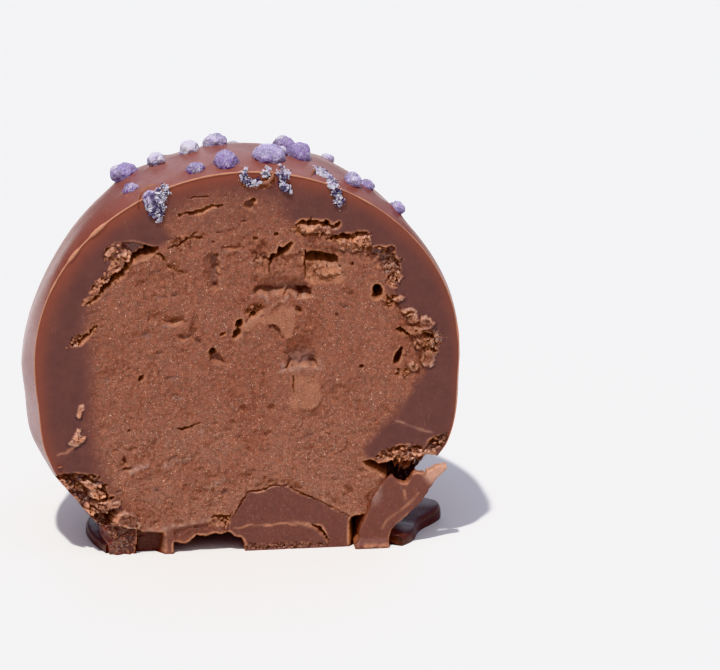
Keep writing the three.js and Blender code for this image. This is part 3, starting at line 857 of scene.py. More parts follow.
SLUMPS = (
    Slump(((-8.6, 22.3), (-8.5, 22.8), (-7.7, 22.8), (-6.8, 22.52), (-6.1, 22.25), (-6.7, 21.95),
        (-7.7, 21.6), (-8.2, 21.9)), 0.5, -60, 0.6, 0.0, 0.0, 0.1, 0.1, 0.1),
    Slump(((-8.75, 21.6), (-8.7, 22.0), (-8.2, 22.1), (-7.85, 21.9), (-7.9, 21.5), (-8.4, 21.35)), -0.45,
        -80, 0.8, 0.9, 0.2, 0.2),
    Slump(((-9.6, 21.9), (-9.1, 22.45), (-8.95, 22.4), (-9.3, 21.8)), -0.14, -60, 0.4, 0.6, 0.0, 0.1),
    Slump(((3.9, 22.3), (6.2, 22.1), (6.2, 20.9), (5.48, 20.9), (4.93, 21.1), (3.97, 21.2)), 0.5, -82, 0.0,
        0.0, 0.0, 0.04, 0.3),
    Slump(((3.92, 21.65), (4.6, 21.55), (5.5, 21.3), (6.2, 21.15), (6.25, 20.5), (5.5, 20.65), (4.9, 20.85),
        (4.0, 20.95)), 1.9, -82, 0.9, 0.0, 0.6, 0.02, 0.12, 0.1),
    Slump(((3.97, 21.1), (4.93, 21.0), (5.0, 20.85), (6.2, 20.55), (6.9, 20.1), (6.6, 19.4), (5.6, 19.1),
        (4.5, 18.9), (4.0, 19.4)), 0.4, 90, 0.1, 0.75, 0.0, 0.1, 0.3),
    Slump(((1.52, 21.16), (1.67, 21.6), (2.1, 21.55), (2.16, 22.04), (2.44, 21.96), (3.0, 22.44),
        (3.14, 22.25), (2.79, 21.74), (2.2, 21.35), (1.8, 21.2), (1.6, 20.87)), 1.5, -60, 0.9, 0.0, 0.0,
        0.1, 0.08, 0.08),
    Slump(((0.1, 22.0), (1.4, 21.9), (1.5, 21.2), (0.9, 21.05), (0.2, 21.2)), 0.6, -90, 0.1, 0.0, 0.3, 0.08,
        0.4),
    Slump(((0.2, 21.1), (1.5, 21.1), (1.6, 19.9), (0.4, 19.9)), 0.25, 90, 0.2, 0.35, 0.0, 0.08, 0.4),
    Slump(((1.65, 21.2), (3.0, 21.6), (3.8, 21.4), (3.85, 20.0), (1.7, 19.9)), 0.3, 90, 0.1, 0.15, 0.0,
        0.06, 0.3),
    Slump(((0.1, 20.1), (2.0, 20.2), (3.9, 20.1), (4.35, 19.0), (4.3, 18.3), (3.5, 18.45), (2.9, 18.3),
        (2.0, 18.6), (1.5, 18.2), (0.9, 18.5), (0.3, 18.4)), 0.75, -88, 0.0, 0.0, 0.5, 0.05, 0.7, 0.28),
    Slump(((3.3, 19.1), (4.35, 19.0), (4.4, 18.3), (3.4, 18.3)), 0.7, -80, 0.4, 0.0, 0.2, 0.0, 0.25, 0.15),
    Slump(((0.5, 19.5), (1.9, 19.2), (2.2, 18.7), (1.3, 18.5), (0.6, 18.7)), 0.4, -90, 0.1, 0.0, 0.3, 0.05,
        0.5, 0.25),
    Slump(((-0.6, 16.0), (0.24, 16.75), (1.48, 17.2), (2.59, 17.75), (3.4, 17.6), (3.28, 16.9),
        (3.05, 15.3), (2.59, 15.35), (2.17, 16.0), (1.48, 16.3), (0.79, 16.4), (-0.03, 15.8)), -0.34, -60,
        0.35, 0.55, 0.0, 0.08, 0.2, 0.14),
    Slump(((-0.2, 16.6), (0.1, 17.6), (0.9, 17.9), (1.5, 17.6), (1.2, 17.3), (0.3, 16.8), (-0.2, 16.3)),
        0.35, -50, 0.2, 0.2, 0.0, 0.2),
    Slump(((1.5, 16.3), (2.2, 15.95), (2.5, 15.3), (2.2, 15.1), (1.6, 15.6), (1.3, 16.1)), 0.4, 60, 0.3,
        0.0, 0.0, 0.06, 0.4),
    Slump(((-3.4, 21.5), (-2.6, 22.0), (-1.95, 21.7), (-1.93, 20.5), (-1.95, 18.9), (-2.5, 18.7),
        (-3.0, 19.6)), 0.55, 0, 0.0, 0.0, 0.15, 0.03, 0.5, 0.15),
    Slump(((-2.0, 22.5), (0.0, 22.5), (-0.3, 21.9), (-1.9, 21.85)), 0.3, -90, 0.0, 0.0, 0.2, 0.05, 0.4),
    Slump(((2.4, 15.6), (4.3, 15.7), (4.8, 14.3), (4.75, 13.25), (3.6, 13.3), (2.45, 13.15)), 0.65, -88,
        0.05, 0.0, 0.6, 0.04, 0.6, 0.18),
    Slump(((2.85, 12.7), (4.9, 12.7), (5.1, 11.2), (5.0, 10.4), (4.4, 10.1), (3.8, 10.3), (2.9, 10.35)),
        -0.3, -90, 0.15, 0.5, 0.0, 0.06, 0.25, 0.2),
    Slump(((-7.0, 18.0), (-5.6, 18.0), (-4.8, 17.4), (-4.1, 17.6), (-4.1, 16.7), (-5.6, 16.5),
        (-6.6, 16.9)), 0.26, -90, 0.0, 0.0, 0.2, 0.03, 0.6, 0.22),
    Slump(((-5.6, 17.4), (-4.2, 17.6), (-4.15, 16.8), (-5.0, 16.6), (-5.6, 16.7)), 0.26, -90, 0.1, 0.0, 0.2,
        0.04, 0.4, 0.22),
    Slump(((-4.1, 17.3), (-3.4, 17.4), (-3.3, 16.2), (-3.6, 15.4), (-4.1, 15.8)), 0.32, -90, 0.2, 0.0, 0.3,
        0.05, 0.4, 0.22),
    Slump(((8.0, 21.8), (9.8, 21.7), (10.5, 20.5), (10.6, 19.4), (9.6, 19.3), (8.8, 20.3), (8.3, 21.2)),
        0.4, 90, 0.5, 0.0, 0.0, 0.1),
    Slump(((-9.6, 3.5), (-9.05, 3.55), (-9.05, 3.0), (-9.3, 2.4), (-9.6, 2.3), (-9.9, 3.0)), 1.0, 0, 0.8,
        0.0, 0.0, 0.2, 0.1, 0.1),
)
PITS = (
    Pit(8.95, 18.55, 0.65, 1.05, 2.0, 8, 0, 0.2, 0.35),
    Pit(8.8, 18.2, 0.5, 0.5, 1.6, 0, 0, 0.3),
    Pit(10.35, 13.75, 0.5, 1.5, 1.0, -22, 0.0, 0.45),
    Pit(-0.55, 16.5, 0.5, 0.75, 1.8, -25, 0, 0.3, 0.45),
    Pit(-0.75, 15.85, 0.5, 0.95, 0.8, -15, 0, 0.4, 0.5),
    Pit(0.37, 17.08, 0.6, 0.24, 1.6, 18, 0, 0.3),
    Pit(3.5, 17.35, 0.4, 0.75, 0.35, 35, 0, 0.6),
    Pit(-1.7, 15.8, 0.5, 0.25, 0.6, 25, 0, 0.5),
    Pit(-2.4, 14.5, 0.45, 0.6, 0.9, 20, 0, 0.4, 0.45),
    Pit(-2.1, 14.0, 1.0, 0.95, 0.45, -20, -0.4, 0.6, 0.6),
    Pit(-7.3, 12.85, 0.28, 0.6, 0.8, -30, 0, 0.3),
    Pit(-5.2, 12.8, 1.7, 0.4, 0.1, 0, 0.5, 0.8),
    Pit(-8.2, 9.1, 0.3, 0.25, 0.3, 0, 0, 0.5),
    Pit(-8.5, 6.9, 0.4, 0.9, 0.4, 15, 0.3, 0.7),
    Pit(-8.3, 6.35, 0.8, 0.3, 0.3, 10, 0, 0.6),
    Pit(-9.0, 4.7, 0.7, 0.5, 0.2, 30, 0.3, 0.8),
    Pit(0.3, 25.1, 0.9, 1.2, 0.5, 40, -0.4, 0.7, 0.4),
    Pit(0.45, 25.5, 0.4, 0.4, 1.0, 40, 0, 0.5),
    Pit(-0.2, 24.0, 0.5, 0.3, 0.2, 0, 0.5, 0.7),
    Pit(2.0, 23.0, 0.3, 0.4, 0.5, 20, 0, 0.5),
    Pit(0.6, 22.7, 0.4, 0.3, 0.3, 0, 0, 0.5),
    Pit(-1.9, 23.3, 0.6, 0.3, 0.2, 0, 0.5, 0.7),
    Pit(-2.3, 22.6, 0.35, 0.3, 0.3, 0, 0.3, 0.7),
    Pit(7.83, 13.1, 0.35, 0.3, 0.5, 0, 0, 0.5),
    Pit(7.2, 20.6, 0.25, 0.4, 0.35, 10, 0, 0.5),
    Pit(6.1, 16.9, 0.35, 0.3, 0.25, -30, 0, 0.5),
    Pit(-6.1, 20.5, 0.7, 0.5, 0.15, 20, 0.5, 0.8),
    Pit(-6.9, 16.0, 0.9, 1.3, 0.22, 20, 0.6, 0.9),
    Pit(-4.4, 15.7, 1.6, 0.6, 0.3, -10, 0.6, 0.9),
    Pit(-3.4, 15.3, 0.5, 1.1, 0.3, 20, 0.5, 0.9),
    Pit(-5.0, 18.7, 0.8, 0.6, 0.2, 20, 0.5, 0.9),
    Pit(-6.0, 14.6, 0.9, 0.5, 0.2, 0, 0.6, 0.9),
    Pit(-9.6, 12.8, 0.9, 0.5, 0.12, 0, 0.6, 0.9),
    Pit(4.2, 8.2, 1.5, 0.6, 0.12, 20, -0.6, 0.9),
    Pit(-5.2, 7.0, 1.2, 0.6, 0.16, 10, 0.6, 0.9),
    Pit(-6.3, 4.7, 0.9, 0.6, 0.16, -20, 0.6, 0.9),
    Pit(-1.7, 4.4, 0.9, 0.6, 0.2, 40, 0.6, 0.9),
    Pit(4.6, 6.2, 0.7, 0.5, 0.2, -20, 0.6, 0.9),
    Pit(6.8, 17.4, 1.6, 0.6, 0.12, -15, 0.6, 0.9),
    Pit(-5.9, 18.6, 1.4, 0.6, 0.12, 0, 0.6, 0.9),
)
RUBBLE = (
    Rubble(-9.2, 22.1, 1.6, 0.8, 0.18, 45, 0.35, 0.6, 0.4),
    Rubble(-8.75, 21.3, 1.5, 0.9, 0.22, 50, 0.42, 0.8, 0.45),
    Rubble(-10.2, 19.7, 1.8, 0.6, 0.2, 48, 0.35, 0.7, 0.4),
    Rubble(-10.9, 18.6, 0.9, 0.4, 0.15, 48, 0.3, 0.9, 0.2),
    Rubble(-5.0, 20.7, 1.3, 0.5, 0.16, -30, 0.3, 0.6, 0.3),
    Rubble(-4.4, 22.9, 2.4, 0.6, 0.14, 15, 0.35, 0.4, 0.2),
    Rubble(-11.7, 15.7, 1.1, 0.9, 0.3, 40, 0.32, 0.4, 0.6),
    Rubble(9.6, 20.7, 2.1, 1.6, 0.25, -35, 0.26, 0.25, 0.4, 0.5, 0.4),
    Rubble(10.0, 19.3, 1.1, 1.0, 0.25, -50, 0.3, 0.5, 0.5, 0.3),
    Rubble(9.9, 17.7, 0.9, 1.0, 0.26, -40, 0.4, 0.6, 0.6),
    Rubble(12.2, 14.7, 1.3, 1.1, 0.2, -20, 0.3, 0.3, 0.6, 0.3, 0.6),
    Rubble(10.7, 12.5, 1.3, 0.7, 0.2, -20, 0.4, 0.7, 0.4),
    Rubble(12.9, 14.9, 1.0, 1.5, 0.12, 0, 0.2, 0.25, 0.3, 0.9),
    Rubble(4.5, 23.15, 2.7, 0.75, 0.3, -8, 0.36, 0.85, 0.25),
    Rubble(7.6, 22.1, 1.9, 1.1, 0.34, 10, 0.4, 0.9, 0.3),
    Rubble(6.1, 22.6, 1.2, 0.6, 0.2, -10, 0.3, 0.5, 0.3),
    Rubble(5.4, 20.6, 2.2, 0.7, 0.14, -12, 0.4, 0.9, 0.05),
    Rubble(0.4, 17.5, 1.1, 0.7, 0.2, 20, 0.3, 0.3, 0.4),
    Rubble(-2.0, 2.3, 1.7, 0.9, 0.2, 10, 0.32, 0.6, 0.4),
    Rubble(10.4, 6.75, 3.2, 1.0, 0.35, 8, 0.4, 0.45, 0.8, 0.2, 0.6),
    Rubble(12.7, 7.4, 1.8, 1.0, 0.4, 30, 0.35, 0.2, 0.6, 0.2, 0.8),
    Rubble(2.4, 0.28, 6.4, 0.5, 0.15, 0, 0.22, 0.2, 0.15, 0.2),
    Rubble(-9.2, 1.0, 2.2, 2.6, 0.16, 0, 0.17, 0.2, 0.1, 0.4, 0.5),
    Rubble(-11.4, 3.4, 4.2, 0.7, 0.2, -50, 0.18, 0.45, 0.15, 0.6, 0.3),
    Rubble(-11.2, 5.0, 2.9, 2.0, 0.36, -30, 0.3, 0.15, 0.6, 0.5, 0.85),
    Rubble(-10.0, 2.8, 1.7, 1.5, 0.3, -40, 0.24, 0.15, 0.5, 0.5, 0.85),
    Rubble(0.6, 26.6, 2.4, 0.4, 0.2, -5, 0.25, 0.7, 0.3),
    Rubble(1.6, 27.2, 0.7, 1.0, 0.2, 20, 0.3, 0.6, 0.4),
)
RIDGES = (
    Ridge(((-8.45, 6.03), (-7.6, 6.35), (-6.79, 6.53)), 0.24, 0.1, 0.8),
    Ridge(((-5.97, 6.5), (-4.9, 6.6), (-3.97, 6.96)), 0.3, 0.12, 0.9),
    Ridge(((-3.07, 4.66), (-2.2, 5.0), (-1.41, 5.38)), 0.3, 0.1, 0.5),
    Ridge(((-3.4, 9.0), (-3.1, 8.7)), 0.25, 0.1, 0.8),
    Ridge(((-5.2, 11.2), (-4.6, 11.3)), 0.18, 0.08, 0.7),
    Ridge(((-9.4, 22.2), (-8.9, 22.85), (-8.5, 22.85), (-7.7, 22.85), (-6.8, 22.57), (-6.0, 22.28)), 0.1,
        0.1, 0.0, 0.6, 0.2),
    Ridge(((-7.7, 21.35), (-7.0, 21.4), (-6.3, 21.75), (-6.0, 21.9)), 0.24, 0.16, 0.2, 0.8, 0.3),
    Ridge(((5.2, 20.95), (5.9, 20.75), (6.4, 20.65), (6.95, 20.55)), 0.3, 0.2, 0.1, 0.8, 0.4),
    Ridge(((-0.35, 16.1), (0.28, 16.75), (1.4, 17.35), (2.1, 17.95), (2.88, 18.1)), 0.2, 0.12, 0.25, 0.6,
        0.3),
    Ridge(((2.6, 13.1), (3.4, 13.15), (4.8, 13.2)), 0.3, 0.14, 0.7, 0.4, 0.4),
    Ridge(((3.3, 10.45), (4.3, 10.3), (4.8, 10.6)), 0.14, 0.08, 0.0, 0.5, 0.3),
    Ridge(((10.03, 9.15), (11.0, 8.8), (12.5, 8.05)), 0.12, 0.08, 0.2, 0.4, 0.2),
    Ridge(((-12.9, 7.5), (-12.3, 7.65), (-11.7, 8.1), (-11.3, 8.5)), 0.15, 0.1, 0.0, 0.6, 0.2),
    Ridge(((-5.6, -0.4), (-5.6, 0.8), (-5.5, 2.0)), 0.26, 0.7, 0.0, 0.12, 0.0),
    Ridge(((-1.3, 1.62), (0.14, 1.9), (1.4, 1.88), (2.6, 1.88), (3.6, 1.75)), 0.12, 0.06, 0.0, 0.8, 0.1),
    Ridge(((2.6, 1.95), (3.5, 1.9), (4.4, 1.65), (4.9, 1.3), (5.2, 0.7)), 0.22, 0.1, 0.1, 0.9, 0.4),
    Ridge(((-7.5, 1.75), (-6.9, 1.8), (-6.3, 1.68), (-5.6, 2.05), (-4.2, 2.2), (-3.0, 2.35), (-2.4, 2.75)),
        0.26, 0.12, 0.45, 0.4, 0.6),
    Ridge(((4.9, 3.65), (5.85, 3.0), (7.0, 2.4), (8.0, 2.55)), 0.26, 0.1, 0.2, 0.5, 0.6),
)


FLAPS = (
    Flap(((6.95, 22.2), (7.3, 22.65), (7.9, 22.75), (8.5, 22.7), (8.5, 22.2), (8.1, 21.95), (7.7, 21.55),
        (7.2, 21.5), (6.95, 21.8)), 0.3, 0.9, 0.24),
    Flap(((6.3, 22.4), (6.7, 22.5), (6.85, 22.0), (6.6, 21.65), (6.3, 21.8)), 0.2, 0.8),
    Flap(((3.4, 23.5), (4.1, 23.6), (4.8, 23.45), (5.5, 23.35), (5.8, 23.0), (5.1, 22.95), (4.4, 23.1),
        (3.8, 23.05)), 0.22, 0.85, 0.24),
    Flap(((4.7, 20.7), (5.3, 20.65), (6.3, 20.55), (6.6, 20.1), (5.9, 19.7), (5.0, 19.9), (4.5, 20.3)),
        0.12, 0.95, 0.25),
    Flap(((10.1, 19.6), (10.35, 19.85), (10.6, 19.5), (10.35, 19.15)), 0.15, 0.95),
    Flap(((9.7, 18.05), (10.1, 17.9), (10.6, 18.1), (10.8, 17.9), (10.3, 17.6), (9.9, 17.7)), 0.12, 0.6),
    Flap(((10.7, 17.1), (11.5, 17.2), (11.6, 16.8), (11.1, 16.6), (10.8, 16.8)), 0.22, 0.6, 0.24),
    Flap(((11.1, 16.6), (11.7, 16.75), (11.9, 16.3), (11.4, 16.0), (11.1, 16.1)), 0.22, 0.55, 0.24),
    Flap(((11.9, 16.5), (12.3, 16.6), (12.95, 16.0), (12.6, 15.65), (12.0, 15.6), (11.8, 16.0)), 0.25,
        0.35),
    Flap(((11.0, 15.8), (11.6, 15.8), (12.1, 15.45), (11.7, 15.1), (11.2, 15.2), (10.9, 15.45)), 0.28, 0.55,
        0.24),
    Flap(((11.4, 14.9), (12.1, 15.05), (12.8, 14.75), (12.9, 14.3), (12.3, 14.35), (11.8, 14.2),
        (11.5, 14.5)), 0.26, 0.6, 0.26),
    Flap(((12.0, 14.0), (12.6, 14.2), (13.0, 13.8), (12.8, 13.1), (12.3, 12.9), (11.9, 13.3)), 0.15, 0.45,
        0.28),
    Flap(((11.1, 13.2), (11.5, 13.35), (11.8, 13.0), (11.5, 12.6), (11.1, 12.8)), 0.14, 0.5, 0.26),
    Flap(((-8.75, 21.6), (-8.7, 22.0), (-8.2, 22.1), (-7.85, 21.9), (-7.9, 21.5), (-8.4, 21.35)), 0.3, 0.9,
        0.2),
    Flap(((-9.7, 21.9), (-9.1, 22.5), (-8.9, 22.4), (-9.3, 21.8)), 0.12, 0.7),
    Flap(((-9.7, 19.9), (-9.2, 20.4), (-8.8, 20.85), (-8.6, 20.7), (-9.1, 20.1), (-9.5, 19.6)), 0.14, 0.6),
    Flap(((-9.35, 2.5), (-9.2, 3.0), (-8.6, 3.3), (-7.9, 2.9), (-7.5, 2.2), (-7.7, 1.95), (-8.4, 2.0),
        (-9.0, 2.25)), 0.2, 0.25, 0.1),
    Flap(((-10.7, 3.9), (-9.8, 4.1), (-8.9, 4.05), (-8.9, 3.6), (-9.6, 3.45), (-9.9, 3.1), (-10.4, 3.4)),
        0.2, 0.75, 0.12),
    Flap(((-12.9, 5.6), (-12.4, 5.75), (-12.15, 5.4), (-12.2, 4.6), (-12.5, 4.5), (-12.8, 5.1)), 0.2, 0.85),
    Flap(((-11.2, 3.35), (-10.6, 3.6), (-10.3, 3.3), (-10.9, 3.0)), 0.2, 0.95),
    Flap(((-11.35, 5.5), (-11.0, 5.65), (-10.6, 5.3), (-10.2, 5.25), (-10.1, 5.0), (-10.6, 4.85),
        (-11.2, 5.1)), 0.16, 0.9, 0.2),
    Flap(((-10.9, 4.75), (-10.5, 4.95), (-10.0, 4.7), (-9.8, 4.35), (-10.3, 4.15), (-10.85, 4.3)), 0.22,
        0.8, 0.12),
    Flap(((-11.75, 10.35), (-11.55, 11.1), (-11.25, 11.2), (-11.3, 10.8), (-11.55, 10.2)), 0.08, 0.8, 0.08),
    Flap(((-12.1, 8.35), (-11.9, 8.85), (-11.65, 9.5), (-11.4, 9.4), (-11.5, 8.95), (-11.15, 8.75),
        (-11.3, 8.4), (-11.8, 8.15)), 0.12, 0.8, 0.12),
    Flap(((9.9, 5.6), (10.4, 6.2), (11.2, 6.45), (12.1, 6.4), (12.0, 5.7), (11.2, 5.3), (10.4, 5.2)), 0.9,
        0.4, 0.3),
    Flap(((9.8, 6.7), (10.1, 6.9), (10.3, 6.5), (10.0, 6.2)), 0.15, 0.9),
    Flap(((11.2, 6.75), (11.9, 6.95), (12.3, 6.8), (11.9, 6.5), (11.4, 6.5)), 0.2, 0.8, 0.2),
)
LIPS = (
    ((-7.35, 25.3), (-7.3, 25.9), (-7.1, 26.35), (-6.75, 26.65), (-6.3, 26.8), (-5.9, 26.85)),
    ((1.0, 26.75), (1.5, 26.85), (1.85, 27.3), (1.95, 27.9)),
    ((4.45, 27.15), (4.7, 27.45), (4.95, 27.65)),
)
CHIP_EDGE: Path = (
    (7.3, -1), (7.27, 0.28), (7.62, 0.69), (7.57, 1.08), (7.72, 1.58), (8.12, 2.37), (8.38, 3.06),
    (8.58, 3.66), (8.93, 4.26), (9.34, 4.75), (9.64, 5.15), (9.95, 5.2), (10.2, 4.85), (10.55, 4.62),
    (10.93, 4.6), (11.15, 4.9), (11.24, 5.2), (11.55, 5.4), (11.95, 5.3), (12.16, 5.3), (12.24, 5.1),
    (12.32, 5.4), (12.6, 5.5), (12.9, 5.7), (13.26, 5.8), (13.71, 5.82), (13.76, 5.6), (13.26, 5.1),
    (12.86, 4.65), (12.5, 4.06), (12.15, 3.47), (11.64, 2.87), (10.93, 2.27), (10.23, 1.6), (9.88, 1.28),
    (9.74, 0.78), (9.69, 0.28), (9.75, -1),
)
CHIP_SCRATCHES: tuple[Path, ...] = (
    ((11.75, 3.9), (11.43, 3.47), (10.51, 2.67), (9.52, 1.97), (9.24, 1.39)),
    ((10.75, 4.1), (10.85, 3.5)),
)


@dataclass
class Knife:
    """Everything that the knife did to the cut, in the order in which it is carved."""

    form: Form
    pitch: float = 0.0665
    proudest: float = 0.65
    first_seed: int = 200
    seeds_each: int = 20

    def carve(self) -> CutFace:
        """Returns the cut with all its marks."""
        face = CutFace(self.form, self.pitch)
        self.grain(face)
        for i, mark in enumerate((*SLUMPS, *RUBBLE, *RIDGES, *PITS, *TEARS, *TERRACES, *FLAPS)):
            mark.apply(face, self.first_seed + self.seeds_each * i)
        face.depth = np.maximum(face.depth, -self.proudest)
        self.edges(face)
        self.warm_rim(face)
        return face

    def grain(self, face: CutFace) -> None:
        """Sets the two sorts of chocolate apart by their texture and their colour masks."""
        place = face.place
        edge = crumple(place, 0.5, 30)
        border = signed_distance(face.x, face.z, GANACHE) + 0.5 * crumple(place, 1.6, 31, octaves=5, gain=0.7)
        soft = 0.4 + 0.55 * np.maximum(ease(face.z, 23.0, 25.0), ease(face.x, -8, -9.5))
        filled = ease(border, soft, -soft) * (1 - 0.3 * ease(face.z, 22.5, 25.0))
        face.mound = signed_distance(face.x, face.z, PLUG_EDGE) - 0.06 * edge
        filled *= ease(face.mound, -0.05, 0.05)
        low = ease(face.z + 1.5 * crumple(place, 5.0, 29), 12.0, 5.0)
        # painted highlights: where bright glint specks and a lighter tone are painted on the ganache, more
        # towards the bottom
        face.masks["glint"] = filled * (0.5 + 0.5 * low) * ease(crumple(place, 3.0, 28), -1.0, 0.1)
        rolling = 0.17 * crumple(place, 2.2, 33) + 0.05 * crumple(place, 7.0, 34, octaves=2)
        dragged = 0.035 * cloud(place, (0.35, 1.0, 3.0), 35) + 0.03 * cloud(place, (0.16, 1.0, 1.2), 36)
        lumps = (0.13 + 0.09 * low) * crumple(place, 1.1, 37, octaves=4, gain=0.75)
        lumps += 0.07 * np.abs(crumple(place, 0.55, 40)) + 0.02 * cloud(place, 0.17, 44)
        near, _, own, _ = pebbles(place, 2.3, 38)
        pits = 0.14 * ease(near + 0.12 * edge, 0.2 * own, 0.04) * (own > 0.75)
        near, _, own, lean = pebbles(place, 0.32, 39)
        pits += (0.02 + 0.045 * low) * lean * (own < 0.4) - 0.04 * ease(near, 0.4, 0.1) * (own > 0.88)
        face.depth += filled * (rolling + dragged + lumps + pits)
        smooth = 0.02 * crumple(place, 3.0, 41) + 0.004 * crumple(place, 0.7, 42)
        near, _, own, _ = pebbles(place, 1.3, 43)
        specks = 0.04 * ease(near, 0.1, 0.03) * (own > 0.85)
        face.depth += (1 - filled) * (smooth + specks)
        foot = ease(face.z, 2.9, 2.3)
        base = 0.2 * np.maximum(ease(face.mound, 0.05, -0.05), foot * ease(face.x, -7.6, -7.2))
        base += 0.25 * foot * ease(face.x, -5.5, -5.1) * ease(face.x, -1.2, -1.6)
        face.masks["ganache"] = np.maximum(filled, base)

    def edges(self, face: CutFace) -> None:
        """Makes torn edges pale, and paints the ledges that face upwards pale as painted light, since they face
        the light.
        """
        reach = 3
        weights = np.exp(-((np.arange(-2 * reach, 2 * reach + 1) / reach) ** 2))
        weights /= weights.sum()
        calm = np.clip(face.depth, -0.6, 0.9)
        mean = calm
        for axis in (0, 1):
            mean = np.apply_along_axis(lambda row: np.convolve(row, weights, "same"), axis, mean)
        stands = ease(mean - calm, 0.02, 0.13) * ease(calm, 0.9, 0.5)
        # painted light: ledges that face upwards, towards the light, are painted pale
        ledge = ease(np.gradient(calm, self.pitch, axis=1), 0.3, 1.3) * ease(calm, 0.9, 0.5)
        inner = ease(-face.outline, 0.05, 0.25)
        patchy = ease(crumple(face.place, 0.6, 52), -0.7, 0.3)
        whole = (slice(None), slice(None))
        face.paint("crumb", whole, inner * patchy * np.maximum(0.75 * stands, 0.45 * ledge))

    def warm_rim(self, face: CutFace) -> None:
        """Paints a warm band just inside the rim, most of all at the upper left towards the light: partly the
        colour of smeared chocolate, partly a painted glow of light shining through the thin edge. A thin bright
        line along the left of the rim is a painted highlight.
        """
        turn = np.arctan2(face.z - 14, face.x)
        wide = 0.55 + 0.3 * np.cos(turn - 2.1) + 0.15 * crumple(face.place, 2.0, 51)
        warm = np.exp(-((face.outline / wide) ** 2)) * ease(face.z, 2.0, 6.0)
        left = ease(np.cos(turn - 2.9), -0.3, 0.7)
        line = 0.9 * np.exp(-((face.outline / 0.2) ** 2)) * left * (1 + 0.4 * crumple(face.place, 1.0, 53))
        face.masks["warm"] = np.clip(np.maximum(warm * (0.6 + 0.4 * np.cos(turn - 2.0)), line), 0, 1)


# ---- Finishes --------------------------------------------------------------------------------------------


class Noise(Enum):
    """The node groups that more than one finish uses."""

    GRAIN = "grain"
    MOTTLE = "mottle"
    SPECKS = "specks"
    SCRATCHES = "scratches"


@dataclass
class Weave:
    """Adds shader nodes to a tree."""

    tree: bpy.types.NodeTree

    def add(self, kind: str, inputs: dict[str | int, object] | None = None, **settings: object) -> Node:
        """Adds one node.

        Args:
            kind: the node's type without "ShaderNode", or in full for a group's ends.
            inputs: values or sockets for its inputs.
            settings: values for its properties.

        Returns:
            The node.
        """
        node = self.tree.nodes.new(kind if kind.startswith("Node") else "ShaderNode" + kind)
        for name, value in settings.items():
            setattr(node, name, value)
        for name, value in (inputs or {}).items():
            if isinstance(value, Socket):
                self.tree.links.new(value, node.inputs[name])
            elif isinstance(value, tuple) and len(value) == 3 and node.inputs[name].type == "RGBA":
                node.inputs[name].default_value = (*value, 1.0)
            else:
                node.inputs[name].default_value = value
        return node

    def place(self, size: float | Socket, stretch: Place = (1.0, 1.0, 1.0)) -> Socket:
        """Returns the place on the object in units of `size` millimetres, drawn out by `stretch`."""
        own = self.add("TexCoord").outputs["Object"]
        per_mm = tuple(1 / (MM * s) for s in stretch)
        scaled = self.add("VectorMath", {0: own, 1: per_mm}, operation="MULTIPLY").outputs[0]
        inverse = self.add("Math", {0: 1.0, 1: size}, operation="DIVIDE").outputs[0]
        return self.add("VectorMath", {0: scaled, "Scale": inverse}, operation="SCALE").outputs[0]

    def mask(self, name: str) -> Socket:
        """Returns a value stored on the mesh."""
        return self.add("Attribute", attribute_name=name).outputs["Fac"]

    def ramp(self, value: Socket, start: object, end: object) -> Socket:
        """Returns 0 to 1 as a value goes from start to end."""
        inputs = {"Value": value, "From Min": start, "From Max": end}
        return self.add("MapRange", inputs, interpolation_type="SMOOTHSTEP").outputs["Result"]

    def mix(self, share: object, low: object, high: object, blend: str = "MIX") -> Socket:
        """Returns a mix of two colours."""
        inputs = {0: share, 6: low, 7: high}
        return self.add("Mix", inputs, data_type="RGBA", blend_type=blend, clamp_result=False).outputs[2]

    def toned(self, colour: Socket, tone: Socket) -> Socket:
        """Returns one colour times another."""
        return self.mix(1.0, colour, tone, "MULTIPLY")

    def math(self, operation: str, a: object, b: object = 0.0) -> Socket:
        """Returns the result of a sum on two values, kept from 0 to 1."""
        return self.add("Math", {0: a, 1: b}, operation=operation, use_clamp=True).outputs[0]

    def times(self, a: object, b: object) -> Socket:
        """Returns one value times another."""
        return self.math("MULTIPLY", a, b)

    def plus(self, a: object, b: object) -> Socket:
        """Returns the sum of two values, at most 1."""
        return self.math("ADD", a, b)

    def span(self, value: Socket, low: float, high: float) -> Socket:
        """Goes from low to high as a value goes from 0 to 1."""
        return self.add("MapRange", {"Value": value, "To Min": low, "To Max": high}).outputs["Result"]

    def bump(self, height: Socket, distance: float, strength: float) -> Socket:
        """Returns the normals of a surface with bumps, `distance` millimetres high."""
        inputs = {"Height": height, "Distance": distance * MM, "Strength": strength}
        return self.add("Bump", inputs).outputs[0]

    def use(self, noise: Noise, output: str, **inputs: object) -> Socket:
        """Adds one of the node groups and returns an output of it."""
        return self.add("Group", inputs, node_tree=bpy.data.node_groups[noise.value]).outputs[output]

    def mottle(self, dark: Colour, light: Colour, size: float, sharpness: float) -> Socket:
        """Returns blotches of two colours."""
        return self.use(Noise.MOTTLE, "Color", Dark=dark, Light=light, Size=size, Sharpness=sharpness)

    def grain(self, size: float, roughness: float) -> Socket:
        """Returns an uneven height from 0 to 1."""
        return self.use(Noise.GRAIN, "Height", Size=size, Roughness=roughness)

    def specks(self, size: float, share: float, dot: float) -> Socket:
        """Returns dots, in a share of the cells, with a radius of `dot` cells."""
        return self.use(Noise.SPECKS, "Mask", Size=size, Share=share, Dot=dot)

    def scratches(self, size: float, share: float) -> Socket:
        """Returns thin lines, over a share of the surface."""
        return self.use(Noise.SCRATCHES, "Mask", Size=size, Share=share)


